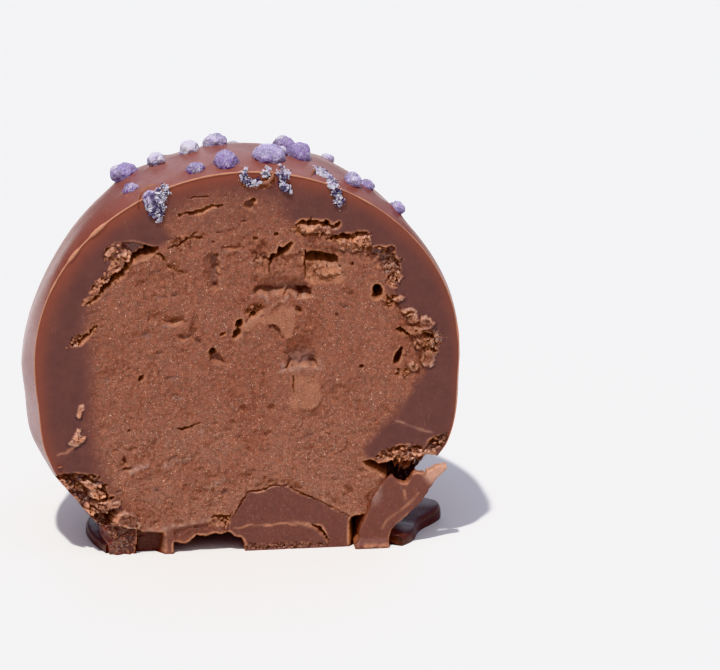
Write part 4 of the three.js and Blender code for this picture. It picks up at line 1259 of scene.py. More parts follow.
def new_group(noise: Noise, inputs: dict[str, str], outputs: dict[str, str]) -> tuple[Weave, Node]:
    """Starts a node group.

    Args:
        noise: which group.
        inputs, outputs: the kinds of its sockets by name, Float or Color.

    Returns:
        What adds nodes to it, and the node that holds its inputs.
    """
    tree = bpy.data.node_groups.new(noise.value, "ShaderNodeTree")
    for side, sockets in (("INPUT", inputs), ("OUTPUT", outputs)):
        for name, kind in sockets.items():
            tree.interface.new_socket(name, in_out=side, socket_type="NodeSocket" + kind)
    weave = Weave(tree)
    return weave, weave.add("NodeGroupInput")


def make_groups() -> None:
    """Makes the node groups."""
    weave, given = new_group(Noise.GRAIN, {"Size": "Float", "Roughness": "Float"}, {"Height": "Float"})
    place = weave.place(given.outputs["Size"])
    noise = weave.add("TexNoise", {"Vector": place, "Detail": 3.0, "Roughness": given.outputs["Roughness"]})
    weave.add("NodeGroupOutput", {"Height": noise.outputs["Fac"]})

    sockets = {"Dark": "Color", "Light": "Color", "Size": "Float", "Sharpness": "Float"}
    weave, given = new_group(Noise.MOTTLE, sockets, {"Color": "Color"})
    place = weave.place(given.outputs["Size"])
    noise = weave.add("TexNoise", {"Vector": place, "Detail": 4.0, "Roughness": 0.6}).outputs["Fac"]
    centred = weave.add("Math", {0: noise, 1: 0.5}, operation="SUBTRACT").outputs[0]
    factors = {0: centred, 1: given.outputs["Sharpness"], 2: 0.5}
    sharp = weave.add("Math", factors, operation="MULTIPLY_ADD", use_clamp=True).outputs[0]
    weave.add("NodeGroupOutput", {"Color": weave.mix(sharp, given.outputs["Dark"], given.outputs["Light"])})

    sockets = {"Size": "Float", "Share": "Float", "Dot": "Float"}
    weave, given = new_group(Noise.SPECKS, sockets, {"Mask": "Float"})
    place = weave.place(given.outputs["Size"])
    bent = weave.add("TexNoise", {"Vector": place, "Scale": 2.3, "Detail": 1.0}).outputs["Color"]
    place = weave.mix(0.35, place, bent, "LINEAR_LIGHT")
    cells = weave.add("TexVoronoi", {"Vector": place})
    dot = weave.ramp(cells.outputs["Distance"], given.outputs["Dot"], weave.times(given.outputs["Dot"], 0.4))
    draw = weave.add("SeparateColor", {"Color": cells.outputs["Color"]}).outputs[0]
    chosen = weave.add("Math", {0: draw, 1: given.outputs["Share"]}, operation="LESS_THAN").outputs[0]
    weave.add("NodeGroupOutput", {"Mask": weave.times(dot, chosen)})

    weave, given = new_group(Noise.SCRATCHES, {"Size": "Float", "Share": "Float"}, {"Mask": "Float"})
    place = weave.place(given.outputs["Size"], (0.35, 1.0, 2.2))
    thread = weave.add("TexNoise", {"Vector": place, "Detail": 1.0, "Distortion": 0.6}).outputs["Fac"]
    near = weave.add("Math", {0: thread, 1: 0.5}, operation="SUBTRACT").outputs[0]
    near = weave.add("Math", {0: near}, operation="ABSOLUTE").outputs[0]
    line = weave.ramp(near, 0.012, 0.002)
    where = weave.add("TexNoise", {"Vector": place, "Scale": 0.7, "Detail": 0.0}).outputs["Fac"]
    limit = weave.add("Math", {0: 1.0, 1: given.outputs["Share"]}, operation="SUBTRACT").outputs[0]
    here = weave.add("MapRange", {"Value": where, "From Min": limit, "From Max": 1.0}).outputs["Result"]
    weave.add("NodeGroupOutput", {"Mask": weave.times(line, weave.ramp(here, 0.0, 0.15))})


@dataclass(frozen=True)
class Finish:
    """What every finish has: a name and a way to start its material."""

    name: str

    def started(self, **constants: object) -> tuple[Weave, Node]:
        """Starts the material.

        Args:
            constants: plain values for the Principled shader, with _ for a space.

        Returns:
            What adds nodes to it, and the Principled shader.
        """
        material = bpy.data.materials.new(self.name)
        material.use_nodes = True
        weave = Weave(material.node_tree)
        shader = material.node_tree.nodes["Principled BSDF"]
        for name, value in constants.items():
            shader.inputs[name.replace("_", " ")].default_value = value
        return weave, shader

    def finished(self, weave: Weave, shader: Node, **links: object) -> Material:
        """Links colours, values and normals to the shader and returns the material."""
        for name, socket in links.items():
            weave.tree.links.new(socket, shader.inputs[name.replace("_", " ")])
        return next(material for material in bpy.data.materials if material.node_tree == weave.tree)


@dataclass(frozen=True)
class CutSection(Finish):
    """Chocolate and ganache where the knife went through. The mesh says which is where."""

    shell_dark: Colour = (0.098, 0.037, 0.032)
    shell_light: Colour = (0.128, 0.048, 0.038)
    ganache_dark: Colour = (0.190, 0.060, 0.034)
    ganache_light: Colour = (0.320, 0.114, 0.068)
    # colour of the painted glow just inside the rim
    warm: Colour = (0.245, 0.062, 0.034)
    tan: Colour = (0.700, 0.340, 0.195)
    # greyish colour for painted shade inside hollows
    dusk: Colour = (0.235, 0.140, 0.120)
    # colour of the painted glint highlights
    glint: Colour = (0.930, 0.590, 0.420)
    # cream colour for frosted sugar, and for painted highlights on sills that face up
    frost: Colour = (0.800, 0.620, 0.530)
    # near-black colour for painted shade in deep cracks, holes and under flaps, and for dark patches
    murk: Colour = (0.030, 0.012, 0.010)

    def build(self) -> Material:
        """Builds the material."""
        weave, shader = self.started(IOR=1.45)
        shell = weave.mottle(self.shell_dark, self.shell_light, 3.5, 2.2)
        veins = weave.scratches(2.5, 0.45)
        shell = weave.mix(weave.times(veins, 0.10), shell, self.tan)
        dots = weave.specks(0.8, 0.08, 0.12)
        shell = weave.mix(weave.times(dots, 0.45), shell, self.tan)
        paste = weave.mottle(self.ganache_dark, self.ganache_light, 1.2, 2.8)
        fine = weave.mottle((0.54, 0.50, 0.48), (1.44, 1.47, 1.50), 0.24, 2.8)
        paste = weave.toned(paste, fine)
        tint = weave.mottle((0.84, 0.90, 0.97), (1.19, 1.09, 0.99), 1.9, 3.0)
        paste = weave.toned(paste, tint)
        # painted highlights: the ganache is lightened towards the glint colour, and bright specks, some in
        # clusters, stand in for wet glints
        paste = weave.mix(weave.times(weave.mask("glint"), 0.05), paste, self.glint)
        painted_glints = weave.specks(0.27, 0.42, 0.5)
        few = weave.specks(0.42, 0.28, 0.42)
        cluster = weave.ramp(weave.grain(1.5, 0.5), 0.42, 0.60)
        few = weave.times(few, weave.plus(cluster, 0.25))
        painted_glints = weave.math("MAXIMUM", weave.times(painted_glints, weave.times(weave.mask("glint"), 0.45)), few)
        paste = weave.mix(painted_glints, paste, self.glint)
        filled = weave.mask("ganache")
        colour = weave.mix(filled, shell, paste)
        # painted glow: a warm band inside the rim and a bright line along its left side
        colour = weave.mix(weave.times(weave.mask("warm"), 0.8), colour, self.warm)
        # painted shade: hollows are greyed as they deepen
        colour = weave.mix(weave.times(weave.mask("dusk"), 0.6), colour, self.dusk)
        # painted shade: deep cracks, holes and the strips under flaps are darkened towards near black
        colour = weave.mix(weave.mask("murk"), colour, self.murk)
        # pale tan of torn chocolate, partly painted light on ledges that face upwards
        torn = weave.mottle((0.37, 0.125, 0.062), self.tan, 0.4, 2.5)
        colour = weave.mix(weave.mask("crumb"), colour, torn)
        # whitened in specks where the mask is set: frosted sugar, and painted highlights on sills that face up
        pale_specks = weave.specks(0.2, 0.75, 0.5)
        colour = weave.mix(weave.times(weave.mask("frost"), weave.plus(pale_specks, 0.25)), colour, self.frost)
        rough = weave.span(filled, 0.40, 0.52)
        grain = weave.grain(0.35, 0.65)
        height = weave.times(grain, weave.span(filled, 0.06, 0.8))
        fine = weave.grain(0.16, 0.6)
        height = weave.plus(height, weave.times(weave.times(fine, filled), 0.55))
        height = weave.plus(height, weave.times(painted_glints, weave.times(filled, 0.35)))
        bump = weave.bump(height, 0.12, 0.9)
        return self.finished(weave, shader, Base_Color=colour, Roughness=rough, Normal=bump)


@dataclass(frozen=True)
class SatinCoat(Finish):
    """The dome's outer skin: set in a polished mould, with faint scratches and specks, and a painted sheen
    where the mesh sets it.
    """

    dark: Colour = (0.175, 0.047, 0.030)
    light: Colour = (0.220, 0.064, 0.040)
    scratch: Colour = (0.420, 0.190, 0.110)
    # pale lilac colour for a painted sheen
    bloom: Colour = (0.560, 0.440, 0.470)

    def build(self) -> Material:
        """Builds the material."""
        weave, shader = self.started(IOR=1.46, Specular_IOR_Level=0.36)
        colour = weave.mottle(self.dark, self.light, 4.0, 2.0)
        lines = weave.scratches(3.0, 0.5)
        colour = weave.mix(weave.times(lines, 0.35), colour, self.scratch)
        dots = weave.specks(1.6, 0.2, 0.08)
        colour = weave.mix(weave.times(dots, 0.25), colour, self.scratch)
        # painted sheen: a pale lilac haze stands in for reflections of the bright surroundings
        colour = weave.mix(weave.mask("bloom"), colour, self.bloom)
        haze = weave.grain(2.2, 0.5)
        rough = weave.span(haze, 0.22, 0.38)
        grain = weave.grain(0.5, 0.55)
        bump = weave.bump(grain, 0.012, 0.5)
        return self.finished(weave, shader, Base_Color=colour, Roughness=rough, Normal=bump)


@dataclass(frozen=True)
class Crumb(Finish):
    """Crumbs and burrs: chocolate torn so finely that it looks tan. The mesh says how pale each one is; the
    rim's burr is paler, partly as a painted highlight.
    """

    dark: Colour = (0.130, 0.045, 0.030)
    tan: Colour = (0.520, 0.240, 0.145)

    def build(self) -> Material:
        """Builds the material."""
        weave, shader = self.started(IOR=1.45)
        fine = weave.mottle((0.75, 0.72, 0.70), (1.2, 1.2, 1.2), 0.25, 3.0)
        colour = weave.mix(weave.mask("pale"), self.dark, self.tan)
        colour = weave.toned(colour, fine)
        grain = weave.grain(0.15, 0.6)
        rough = weave.span(grain, 0.45, 0.65)
        bump = weave.bump(grain, 0.03, 0.6)
        return self.finished(weave, shader, Base_Color=colour, Roughness=rough, Normal=bump)


@dataclass(frozen=True)
class VioletSugar(Finish):
    """Coloured sugar. The mesh says how white each lump is, with a painted highlight on its upper side, how
    blue, and where it is darkened, by painted shade in grooves and on lower sides and by dark grains.
    """

    violet: Colour = (0.150, 0.070, 0.250)
    blue: Colour = (0.345, 0.290, 0.520)
    frost: Colour = (0.790, 0.770, 0.800)
    murk: Colour = (0.035, 0.030, 0.070)

    def build(self) -> Material:
        """Builds the material."""
        weave, shader = self.started(IOR=1.5, Subsurface_Weight=0.35, Subsurface_Scale=0.4 * MM)
        shader.inputs["Subsurface Radius"].default_value = (0.8, 0.7, 1.0)
        body = weave.mix(weave.mask("glow"), self.violet, self.blue)
        fine = weave.mottle((0.55, 0.46, 0.62), (1.32, 1.28, 1.18), 0.4, 2.4)
        body = weave.toned(body, fine)
        # darkened towards near-black navy: painted shade in grooves and on lower sides, and dark grains
        body = weave.mix(weave.mask("murk"), body, self.murk)
        grains = weave.specks(0.22, 0.8, 0.5)
        grain = weave.grain(0.45, 0.6)
        patch = weave.ramp(weave.plus(grain, weave.times(weave.mask("frost"), 0.5)), 0.60, 0.95)
        # painted highlights: white specks stand in for sparkles, more where the white share is high
        sparkle = weave.times(grains, weave.plus(patch, 0.25))
        colour = weave.mix(weave.plus(weave.times(patch, 0.6), sparkle), body, self.frost)
        rough = weave.span(grain, 0.18, 0.5)
        height = weave.plus(weave.times(grains, 0.5), weave.times(grain, 0.5))
        bump = weave.bump(height, 0.1, 0.9)
        return self.finished(weave, shader, Base_Color=colour, Roughness=rough, Normal=bump)


@dataclass(frozen=True)
class PaleFloor(Finish):
    """The plain pale surface under the bonbon."""

    dark: Colour = (0.80, 0.80, 0.775)
    light: Colour = (0.82, 0.82, 0.795)

    def build(self) -> Material:
        """Builds the material."""
        weave, shader = self.started(Specular_IOR_Level=0.2)
        colour = weave.mottle(self.dark, self.light, 30.0, 1.5)
        grain = weave.grain(8.0, 0.5)
        rough = weave.span(grain, 0.55, 0.65)
        return self.finished(weave, shader, Base_Color=colour, Roughness=rough)


@dataclass
class Finishes:
    """All materials of the scene."""

    cut: Material = field(init=False)
    coat: Material = field(init=False)
    # a darker copy of the coat for the foot, as painted shade
    foot: Material = field(init=False)
    crumb: Material = field(init=False)
    sugar: Material = field(init=False)
    floor: Material = field(init=False)

    def __post_init__(self) -> None:
        """Makes the node groups and then the materials."""
        make_groups()
        self.cut = CutSection("cut_chocolate").build()
        self.coat = SatinCoat("satin_chocolate").build()
        # painted shade: the foot gets a much darker copy of the coat, as it lies in shade
        self.foot = SatinCoat("foot_chocolate", (0.060, 0.020, 0.015), (0.085, 0.028, 0.020)).build()
        self.crumb = Crumb("chocolate_crumb").build()
        self.sugar = VioletSugar("sugar_crystals").build()
        self.floor = PaleFloor("pale_floor").build()


# ---- Pieces ----------------------------------------------------------------------------------------------


@dataclass(frozen=True)
class Rings:
    """Closes a loop behind the cut: rings that run from it over a surface to a pole at the back."""

    centre: Place
    pole: Place
    around: int
    count: int
    reach: float
    power: float = 1.25
    first: float = 0.35  # how far the first ring lies behind the loop, in steps between rings
    blur: float = 0.035  # how far along the loop its steps fade out, as a share of it
    halvings: int = 24

    def over(self, loop: np.ndarray, outside: Outside) -> tuple[np.ndarray, np.ndarray]:
        """Finds the rings' points.

        Args:
            loop: the loop's points, N by 3.
            outside: gives how far outside the surface points lie.

        Returns:
            The points as rings by points by 3, and the directions in which they lie from the centre.
        """
        centre = np.array(self.centre)
        place = np.concatenate([walked(loop), [1.0]])
        closed = np.concatenate([loop, loop[:1]])
        even = np.arange(self.around) / self.around
        start = unit(np.stack([np.interp(even, place, closed[:, a]) for a in range(3)], axis=1) - centre)
        pole = np.array(self.pole) / np.linalg.norm(self.pole)
        right = np.array([1.0, 0.0, 0.0])
        up = np.cross(pole, right)
        turn = np.unwrap(np.arctan2(start @ up, start @ right))
        once = math.copysign(2 * math.pi, turn[-1] - turn[0])
        share = (((np.arange(self.count) + self.first) / self.count) ** self.power)[:, None]
        settled = ease(share, 0.0, 0.22)
        turn = self.calmed(turn - once * even, settled) + once * even
        angle = self.calmed(np.arccos(np.clip(start @ pole, -1, 1)), settled) * (1 - share)
        flat = np.cos(turn)[..., None] * right + np.sin(turn)[..., None] * up
        ways = np.cos(angle)[..., None] * pole + np.sin(angle)[..., None] * flat
        near, far = np.zeros(ways.shape[:2]), np.full(ways.shape[:2], self.reach)
        for _ in range(self.halvings):
            middle = (near + far) / 2
            x, y, z = (centre[i] + middle * ways[..., i] for i in range(3))
            beyond = outside(x, y, z) > 0
            near, far = np.where(beyond, near, middle), np.where(beyond, middle, far)
        return centre + near[..., None] * ways, ways

    def calmed(self, values: np.ndarray, settled: np.ndarray) -> np.ndarray:
        """Lets the loop's sudden steps fade out from ring to ring, so that the rings never fold over."""
        apart = np.minimum(np.arange(self.around), self.around - np.arange(self.around))
        weights = np.exp(-((apart / (self.blur * self.around)) ** 2))
        spread = np.fft.ifft(np.fft.fft(values) * np.fft.fft(weights / weights.sum())).real
        return values + settled * (spread - values)

    def skin(self, loop: np.ndarray, points: np.ndarray) -> Skin:
        """Joins the loop, the rings and the pole into one mesh."""
        count, around = points.shape[:2]
        start = len(loop)
        even = np.arange(around) / around
        faces: list[tuple[int, ...]] = list(zipped(walked(loop), even, 0, start))
        ids = start + np.arange(count * around).reshape(count, around)
        after = np.roll(ids, -1, axis=1)
        quads = np.stack([ids[:-1], after[:-1], after[1:], ids[1:]], axis=-1).reshape(-1, 4)
        faces += [tuple(quad) for quad in quads.tolist()]
        tip = start + count * around
        faces += [(int(ids[-1, j]), int(after[-1, j]), tip) for j in range(around)]
        return Skin(np.concatenate([loop, points.reshape(-1, 3), points[-1].mean(0)[None]]), faces)


CRYSTALS = sorted(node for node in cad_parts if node.startswith("crystal_"))

# The crystals by number: how white and how blue each is, and where it moves to and how much it grows.
TONES = {
    1: (0.2, 0.6), 2: (0.1, 0.2), 3: (0.75, 0.75), 4: (0.6, 0.6), 5: (0.4, 0.75), 6: (0.1, 0.4),
    7: (0.08, 0.45), 8: (0.35, 0.5), 9: (0.25, 0.55), 10: (0.3, 0.7), 11: (0.1, 0.3), 12: (0.35, 0.65),
}
MOVES = {
    2: ((0.2, -0.05), 1.05), 3: ((0.1, 0.25), 1.15), 6: ((0.27, -0.1), 1.0), 7: ((0.1, -0.3), 1.12),
    8: ((0.0, -0.2), 1.05), 9: ((0.1, -0.3), 1.05), 12: ((0.2, 0.0), 1.1), 17: ((-0.5, -0.35), 0.8),
    18: ((0.5, -0.2), 0.8), 20: ((0.0, -0.3), 0.7), 22: ((0.5, -0.3), 0.6), 23: ((0.0, -0.3), 0.8),
    25: ((0.1, -0.3), 0.7),
}
# The crystals that the knife went through: their heart, trails, spread, frost and glow.
CUT_STONES = {
    13: (
        (-0.18, 0.1, 0.66, 0.95),
        (((0.75, 1.2), (0.78, 0.7), (0.5, 0.2)), ((0.45, 0.1), (0.37, -0.7), (0.25, -1.25)),
         ((-0.3, -0.4), (0.2, -0.9)), ((0.3, 0.9), (0.3, 0.0))),
        0.26, 0.95, 0.5,
    ),
    14: (
        (0.3, -0.1, 0.34, 0.2),
        (((0.08, 0.72), (-0.07, 0.12), (0.41, -0.28), (0.96, -0.13)), ((1.63, 0.77), (1.48, 0.17))),
        0.24, 0.95, 0.4,
    ),
    15: (
        (0.09, 0.2, 0.4, 0.28),
        (((0.16, 1.1), (0.09, 0.4)), ((-0.11, -0.16), (0.35, -0.6)), ((-0.2, 0.6), (0.4, 0.5))),
        0.3, 0.85, 0.8,
    ),
    16: (
        (0.05, 1.0, 0.22, 0.4),
        (((-0.95, 1.69), (-0.55, 1.8), (-0.1, 1.26), (0.2, 0.45), (0.4, -0.35), (0.5, -0.85)),
         ((-0.4, 1.7), (-0.1, 1.2), (0.3, 0.7))),
        0.3, 1.0, 0.8,
    ),
}


@dataclass
class Stone:
    """One crystal of violet sugar, grown from a few faceted lumps."""

    node: str
    seed: int
    frost: float
    glow: float
    shift: tuple[float, float] = (0.0, 0.0)
    grow: float = 1.0

    def skin(self) -> Skin:
        """Fits the crystal to its node's box. Frost is how white it is, and glow how blue. `shift` moves it
        to the right and up, and `grow` makes it larger."""
        low, high = box_mm(self.node)
        middle = (low + high) / 2 + np.array([self.shift[0], 0, self.shift[1]])
        half = 0.56 * self.grow * (high - low)
        dice = np.random.default_rng(self.seed)
        parts = []
        for i in range(5):
            corners, faces = ball(3 if i else 4)
            size = dice.uniform(0.3, 0.62) if i else 0.95
            shift = dice.uniform(-1, 1, 3) * (1 - 0.9 * size) if i else np.zeros(3)
            facets = self.facets(corners, dice, 26, 0.82)
            place = corners * half.mean() * size + 9 * i
            near, groove, own, lean = pebbles(place, 0.3, self.seed + i)
            bumps = 0.1 * crumple(corners + 7 * i, 0.6, self.seed + i) + 0.03 * (own - 0.5)
            bumps += 0.05 * lean - 0.02 * near
            points = middle + half * (corners * (size * facets * (1 + bumps))[:, None] + shift)
            grain = 0.5 * (own - 0.5) + 0.8 * crumple(place, 0.7, self.seed + 5)
            # painted light: the upper side is made whiter and bluer, and grooves and the lower side darker as
            # painted shade
            masks = {
                "frost": np.clip(self.frost + 0.15 * dice.normal() + 0.5 * grain + 0.2 * corners[:, 2], 0, 1),
                "glow": np.clip(self.glow + 0.15 * dice.normal() - 0.5 * grain + 0.2 * corners[:, 2], 0, 1),
                "murk": np.clip(0.3 * ease(groove, 0.12, 0.0) - 0.5 * grain - 0.25 * corners[:, 2], 0, 0.5),
            }
            parts.append(Skin(points, faces, masks))
        return Skin.merged(parts)

    @staticmethod
    def facets(corners: np.ndarray, dice: np.random.Generator, count: int, nearest: float) -> np.ndarray:
        """Returns how far out each corner of a ball may lie between flat planes, which face ways drawn by
        chance and lie from `nearest` to 1 away from the middle."""
        toward = corners @ unit(dice.normal(size=(count, 3))).T
        reach = np.where(toward > 0.05, dice.uniform(nearest, 1.0, count) / np.maximum(toward, 0.05), FAR)
        return np.minimum(reach.min(axis=1), 1.0)


@dataclass
class CutStone:
    """A crystal that the knife went through: a dark heart, and trails of crushed white grains on the cut.
    `heart` is its place from the node's middle and its half sizes, and the trails start from there too."""

    node: str
    seed: int
    form: Form
    heart: tuple[float, float, float, float]
    trails: tuple[Path, ...]
    spread: float = 0.3
    frost: float = 0.6
    glow: float = 0.5

    def skin(self) -> Skin:
        """Builds the heart and the grains along the trails."""
        low, high = box_mm(self.node)
        middle = (low + high) / 2
        dice = np.random.default_rng(self.seed)
        parts = self.lumps(middle, dice)
        for trail in self.trails:
            path = np.array(trail)
            lengths = np.linalg.norm(np.diff(path, axis=0), axis=1)
            along = np.concatenate([[0], np.cumsum(lengths)])
            for _ in range(int(170 * along[-1] * self.spread / 0.3)):
                at = dice.uniform(0, along[-1])
                x = middle[0] + np.interp(at, along, path[:, 0]) + self.spread * 0.5 * dice.normal()
                z = middle[2] + np.interp(at, along, path[:, 1]) + self.spread * 0.5 * dice.normal()
                parts.append(self.grain(self.form.onto(x, z), 0.04 + 0.14 * dice.uniform() ** 2.5, dice))
        return Skin.merged(parts)

    def lumps(self, middle: np.ndarray, dice: np.random.Generator) -> list[Skin]:
        """Builds the heart from a few faceted lumps, dark violet and pressed flat into the cut."""
        across, up, wide, tall = self.heart
        place = self.form.onto(middle[0] + across, middle[2] + up) + np.array([0, 0.02, 0])
        parts = []
        for i in range(4):
            corners, faces = ball(3)
            facets = Stone.facets(corners, dice, 18, 0.7)
            size = dice.uniform(0.45, 0.7) if i else 0.95
            shift = dice.uniform(-1, 1, 3) * (1 - 0.9 * size) if i else np.zeros(3)
            lump = corners * (size * facets)[:, None] + shift
            grain = crumple(corners + 5 * i, 0.45, self.seed)
            # painted light: the upper side is made whiter and bluer, and the lower side darker as painted shade
            masks = {
                "frost": np.clip(0.15 + 1.1 * grain + 0.3 * corners[:, 2], 0, 1),
                "glow": np.clip(0.4 * self.glow - 0.5 * grain + 0.5 * corners[:, 2], 0, 1),
                "murk": np.clip(0.5 - 2.2 * grain - 0.8 * corners[:, 2], 0, 0.95),
            }
            parts.append(Skin(place + lump * np.array([wide, 0.3, tall]), faces, masks))
        return parts

    def grain(self, place: np.ndarray, size: float, dice: np.random.Generator) -> Skin:
        """Builds one sharp grain."""
        corners, faces = ball(0)
        shape = corners * dice.uniform(0.5, 1.3, (len(corners), 1)) * dice.uniform(0.5, 1.4, 3) * size
        dark = dice.uniform() < 0.28
        frost = 0.0 if dark else np.clip(self.frost + 0.3 * dice.normal(), 0, 1)
        glow = 0.0 if dark else np.clip(self.glow + 0.3 * dice.normal(), 0, 1)
        shades = {"frost": frost, "glow": glow, "murk": 0.8 * dark}
        rise = np.array([0, -0.5 * size - 0.08 * dice.uniform(), 0])
        masks = {name: np.full(len(corners), shade) for name, shade in shades.items()}
        return Skin(place + shape + rise, faces, masks)


@dataclass
class Bonbon:
    """The dressed bonbon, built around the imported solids."""

    form: Form
    face: CutFace
    finishes: Finishes

    def regions(self) -> dict[str, tuple[Skin, list[np.ndarray]]]:
        """Splits the cut into shell, filling and plug, which share their borders."""
        face = self.face
        filling = np.maximum(np.maximum(face.outline + 0.3, face.room), 0.02 - face.mound)
        plug = np.maximum(np.maximum(face.mound, 0.02 - face.coat), -face.z)
        shell = np.maximum(np.maximum(face.outline, -filling), -plug)
        return {"shell": face.region(shell), "filling": face.region(filling), "plug": face.region(plug)}

    def build(self) -> None:
        """Builds every piece, fixes it to the body and hides the imported part that it stands for."""
        regions, finishes = self.regions(), self.finishes
        filling, loops = regions["filling"]
        pieces = (
            ("shell_cut", regions["shell"][0], finishes.cut, "chocolate", "shell"),
            ("shell_coat", self.coat(), finishes.coat, "chocolate", "shell"),
            ("rim_burr", self.burr(), finishes.crumb, "chocolate", "shell"),
            ("shell_foot", self.pool(), finishes.foot, "chocolate", "shell"),
            ("filling_cut", self.backed(filling, loops[0]), finishes.cut, "ganache", "filling"),
            ("plug_cut", regions["plug"][0], finishes.cut, "chocolate", "base_plug"),
            ("wall_chip", self.chip(), finishes.cut, "chocolate", "broken_chip"),
            ("crumbs", self.crumbs(), finishes.crumb, "chocolate", "shell"),
        )
        for name, skin, finish, slot, node in pieces:
            self.settle(skin.made(name, finish), node)
        self.stones()

    def settle(self, piece: bpy.types.Object, node: str) -> None:
        """Relaxes a piece's form, fixes it to the body, and hides the imported part of the node it stands for.
        """
        mesh = piece.data
        points = np.empty(len(mesh.vertices) * 3)
        mesh.vertices.foreach_get("co", points)
        moved = self.form.relaxed(points.reshape(-1, 3) / MM) * MM
        mesh.vertices.foreach_set("co", moved.ravel())
        mesh.update()
        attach(piece, "root")
        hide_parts(node)
        LOG.info("%s: %d faces", piece.name, len(piece.data.polygons))

    def rim(self) -> np.ndarray:
        """Returns the rim of the whole cut as a loop of points."""
        skin, loops = self.face.region(self.face.outline)
        return skin.points[loops[0]]

    def coat(self) -> Skin:
        """Builds the dome's outer skin, from the rim to the back."""
        rim = self.rim()
        rings = Rings(centre=(0, 0, 4), pole=(0, 1, 0.4), around=600, count=140, reach=27)
        points, ways = rings.over(rim, self.form.outline)
        away = ease(np.arange(rings.count)[:, None], 0, 12)
        wave = 0.05 * crumple(points, 7.0, 61, 2) + 0.02 * crumple(points, 1.8, 62, 2)
        bumps = np.zeros(points.shape[:2])
        for node in CRYSTALS:
            low, high = box_mm(node)
            apart = np.linalg.norm((points - (low + high) / 2)[..., :2], axis=-1)
            bumps += 0.22 * np.exp(-((apart / (0.55 * (high - low)[0])) ** 2)) * (points[..., 2] > 15)
        near, _, own, _ = pebbles(points, 2.1, 63)
        bumps += 0.03 * ease(near, 0.2, 0.02) * (own > 0.8)
        points = points + ways * (away * (wave + bumps))[..., None]
        points[..., 2] = np.maximum(points[..., 2], 0)
        skin = rings.skin(rim, points)
        x, z = skin.points[:, 0], skin.points[:, 2]
        # painted sheen: pale haze on the left shoulder and near the top
        side = 0.24 * ease(x, -10.5, -13.5) * ease(z, 19.5, 15) * ease(z, 2, 5)
        cloudy = 1 + 0.8 * crumple(skin.points, 2.6, 64) + 0.5 * crumple(skin.points, 0.7, 65)
        skin.masks["bloom"] = np.clip((side + 0.1 * ease(z, 24, 27)) * cloudy, 0, 1)
        return skin

    def burr(self) -> Skin:
        """Builds the thin line of chocolate that the knife raised along the rim, and a few thicker lips."""
        rim, front, steps = self.rim(), np.array([0.0, -1.0, 0.0]), 40
        ahead = unit(np.roll(rim, -1, axis=0) - np.roll(rim, 1, axis=0))
        out = np.cross(ahead, front)
        out /= np.linalg.norm(out, axis=1)[:, None] + 1e-9
        out *= np.sign(np.sum(out * (rim - np.array([0, 0, 13.0])), axis=1))[:, None]
        thick = 0.03 + 0.03 * np.abs(crumple(rim, 0.7, 71)) + 0.05 * ease(cloud(rim, 1.7, 72), 0.35, 0.8)
        turn = np.arctan2(rim[:, 2] - 14, rim[:, 0])
        thick *= 1 + 0.8 * ease(np.cos(turn - 2.0), 0.5, 0.95)
        thick *= ease(rim[:, 2], 6.3, 7.5) * (rim[:, 1] < self.form.cut + 0.4)
        parts = [self.cord(rim, thick, out, front, closed=True)]
        for path in LIPS:
            even = np.linspace(0, len(path) - 1, steps)
            x, z = (np.interp(even, np.arange(len(path)), axis) for axis in zip(*path))
            line = np.array([self.form.onto(x[i], z[i]) for i in range(steps)])
            line += 0.06 * np.stack([crumple(line, 0.5, seed) for seed in (73, 74, 75)], axis=1)
            swell = np.sin(math.pi * np.linspace(0.04, 0.96, steps)) ** 0.5
            wide = 0.22 * swell * (1 + 0.4 * crumple(line, 0.4, 76))
            up = np.broadcast_to(np.array([0.0, 0.0, 1.0]), line.shape)
            parts.append(self.cord(line, wide, up, front, closed=False))
        return Skin.merged(parts)

    @staticmethod
    def cord(line: np.ndarray, thick: np.ndarray, out: np.ndarray, front: np.ndarray, closed: bool) -> Skin:
        """Builds a thin round cord of chocolate.

        Args:
            line: its middle, N by 3.
            thick: its radius at each point, which leaves it out where it is almost nothing.
            out: a direction across it at each point.
            front: the other direction across it.
            closed: whether its end meets its start.

        Returns:
            The cord.
        """
        count, sides = len(line), 6
        turns = np.arange(sides) / sides * 2 * math.pi
        across = np.cos(turns)[None, :, None] * out[:, None] + np.sin(turns)[None, :, None] * front
        rings = line[:, None] + thick[:, None, None] * across
        keep = thick > 0.01
        ids = np.arange(count * sides).reshape(count, sides).tolist()
        pairs = [(k, (k + 1) % sides) for k in range(sides)]
        faces = []
        for i in range(count if closed else count - 1):
            j = (i + 1) % count
            if keep[i] and keep[j]:
                faces += [(ids[i][k], ids[i][after], ids[j][after], ids[j][k]) for k, after in pairs]
        if not closed:
            faces += [tuple(ids[0][::-1]), tuple(ids[-1])]
        used = np.unique(np.concatenate([np.array(face) for face in faces]))
        number = np.full(count * sides, -1)
        number[used] = np.arange(len(used))
        # the rim's cord is made paler than the lips, partly a painted highlight where light catches the rim
        pale = np.full(len(used), 0.85 if closed else 0.4)
        faces = [tuple(number[list(face)].tolist()) for face in faces]
        return Skin(rings.reshape(-1, 3)[used], faces, {"pale": pale})

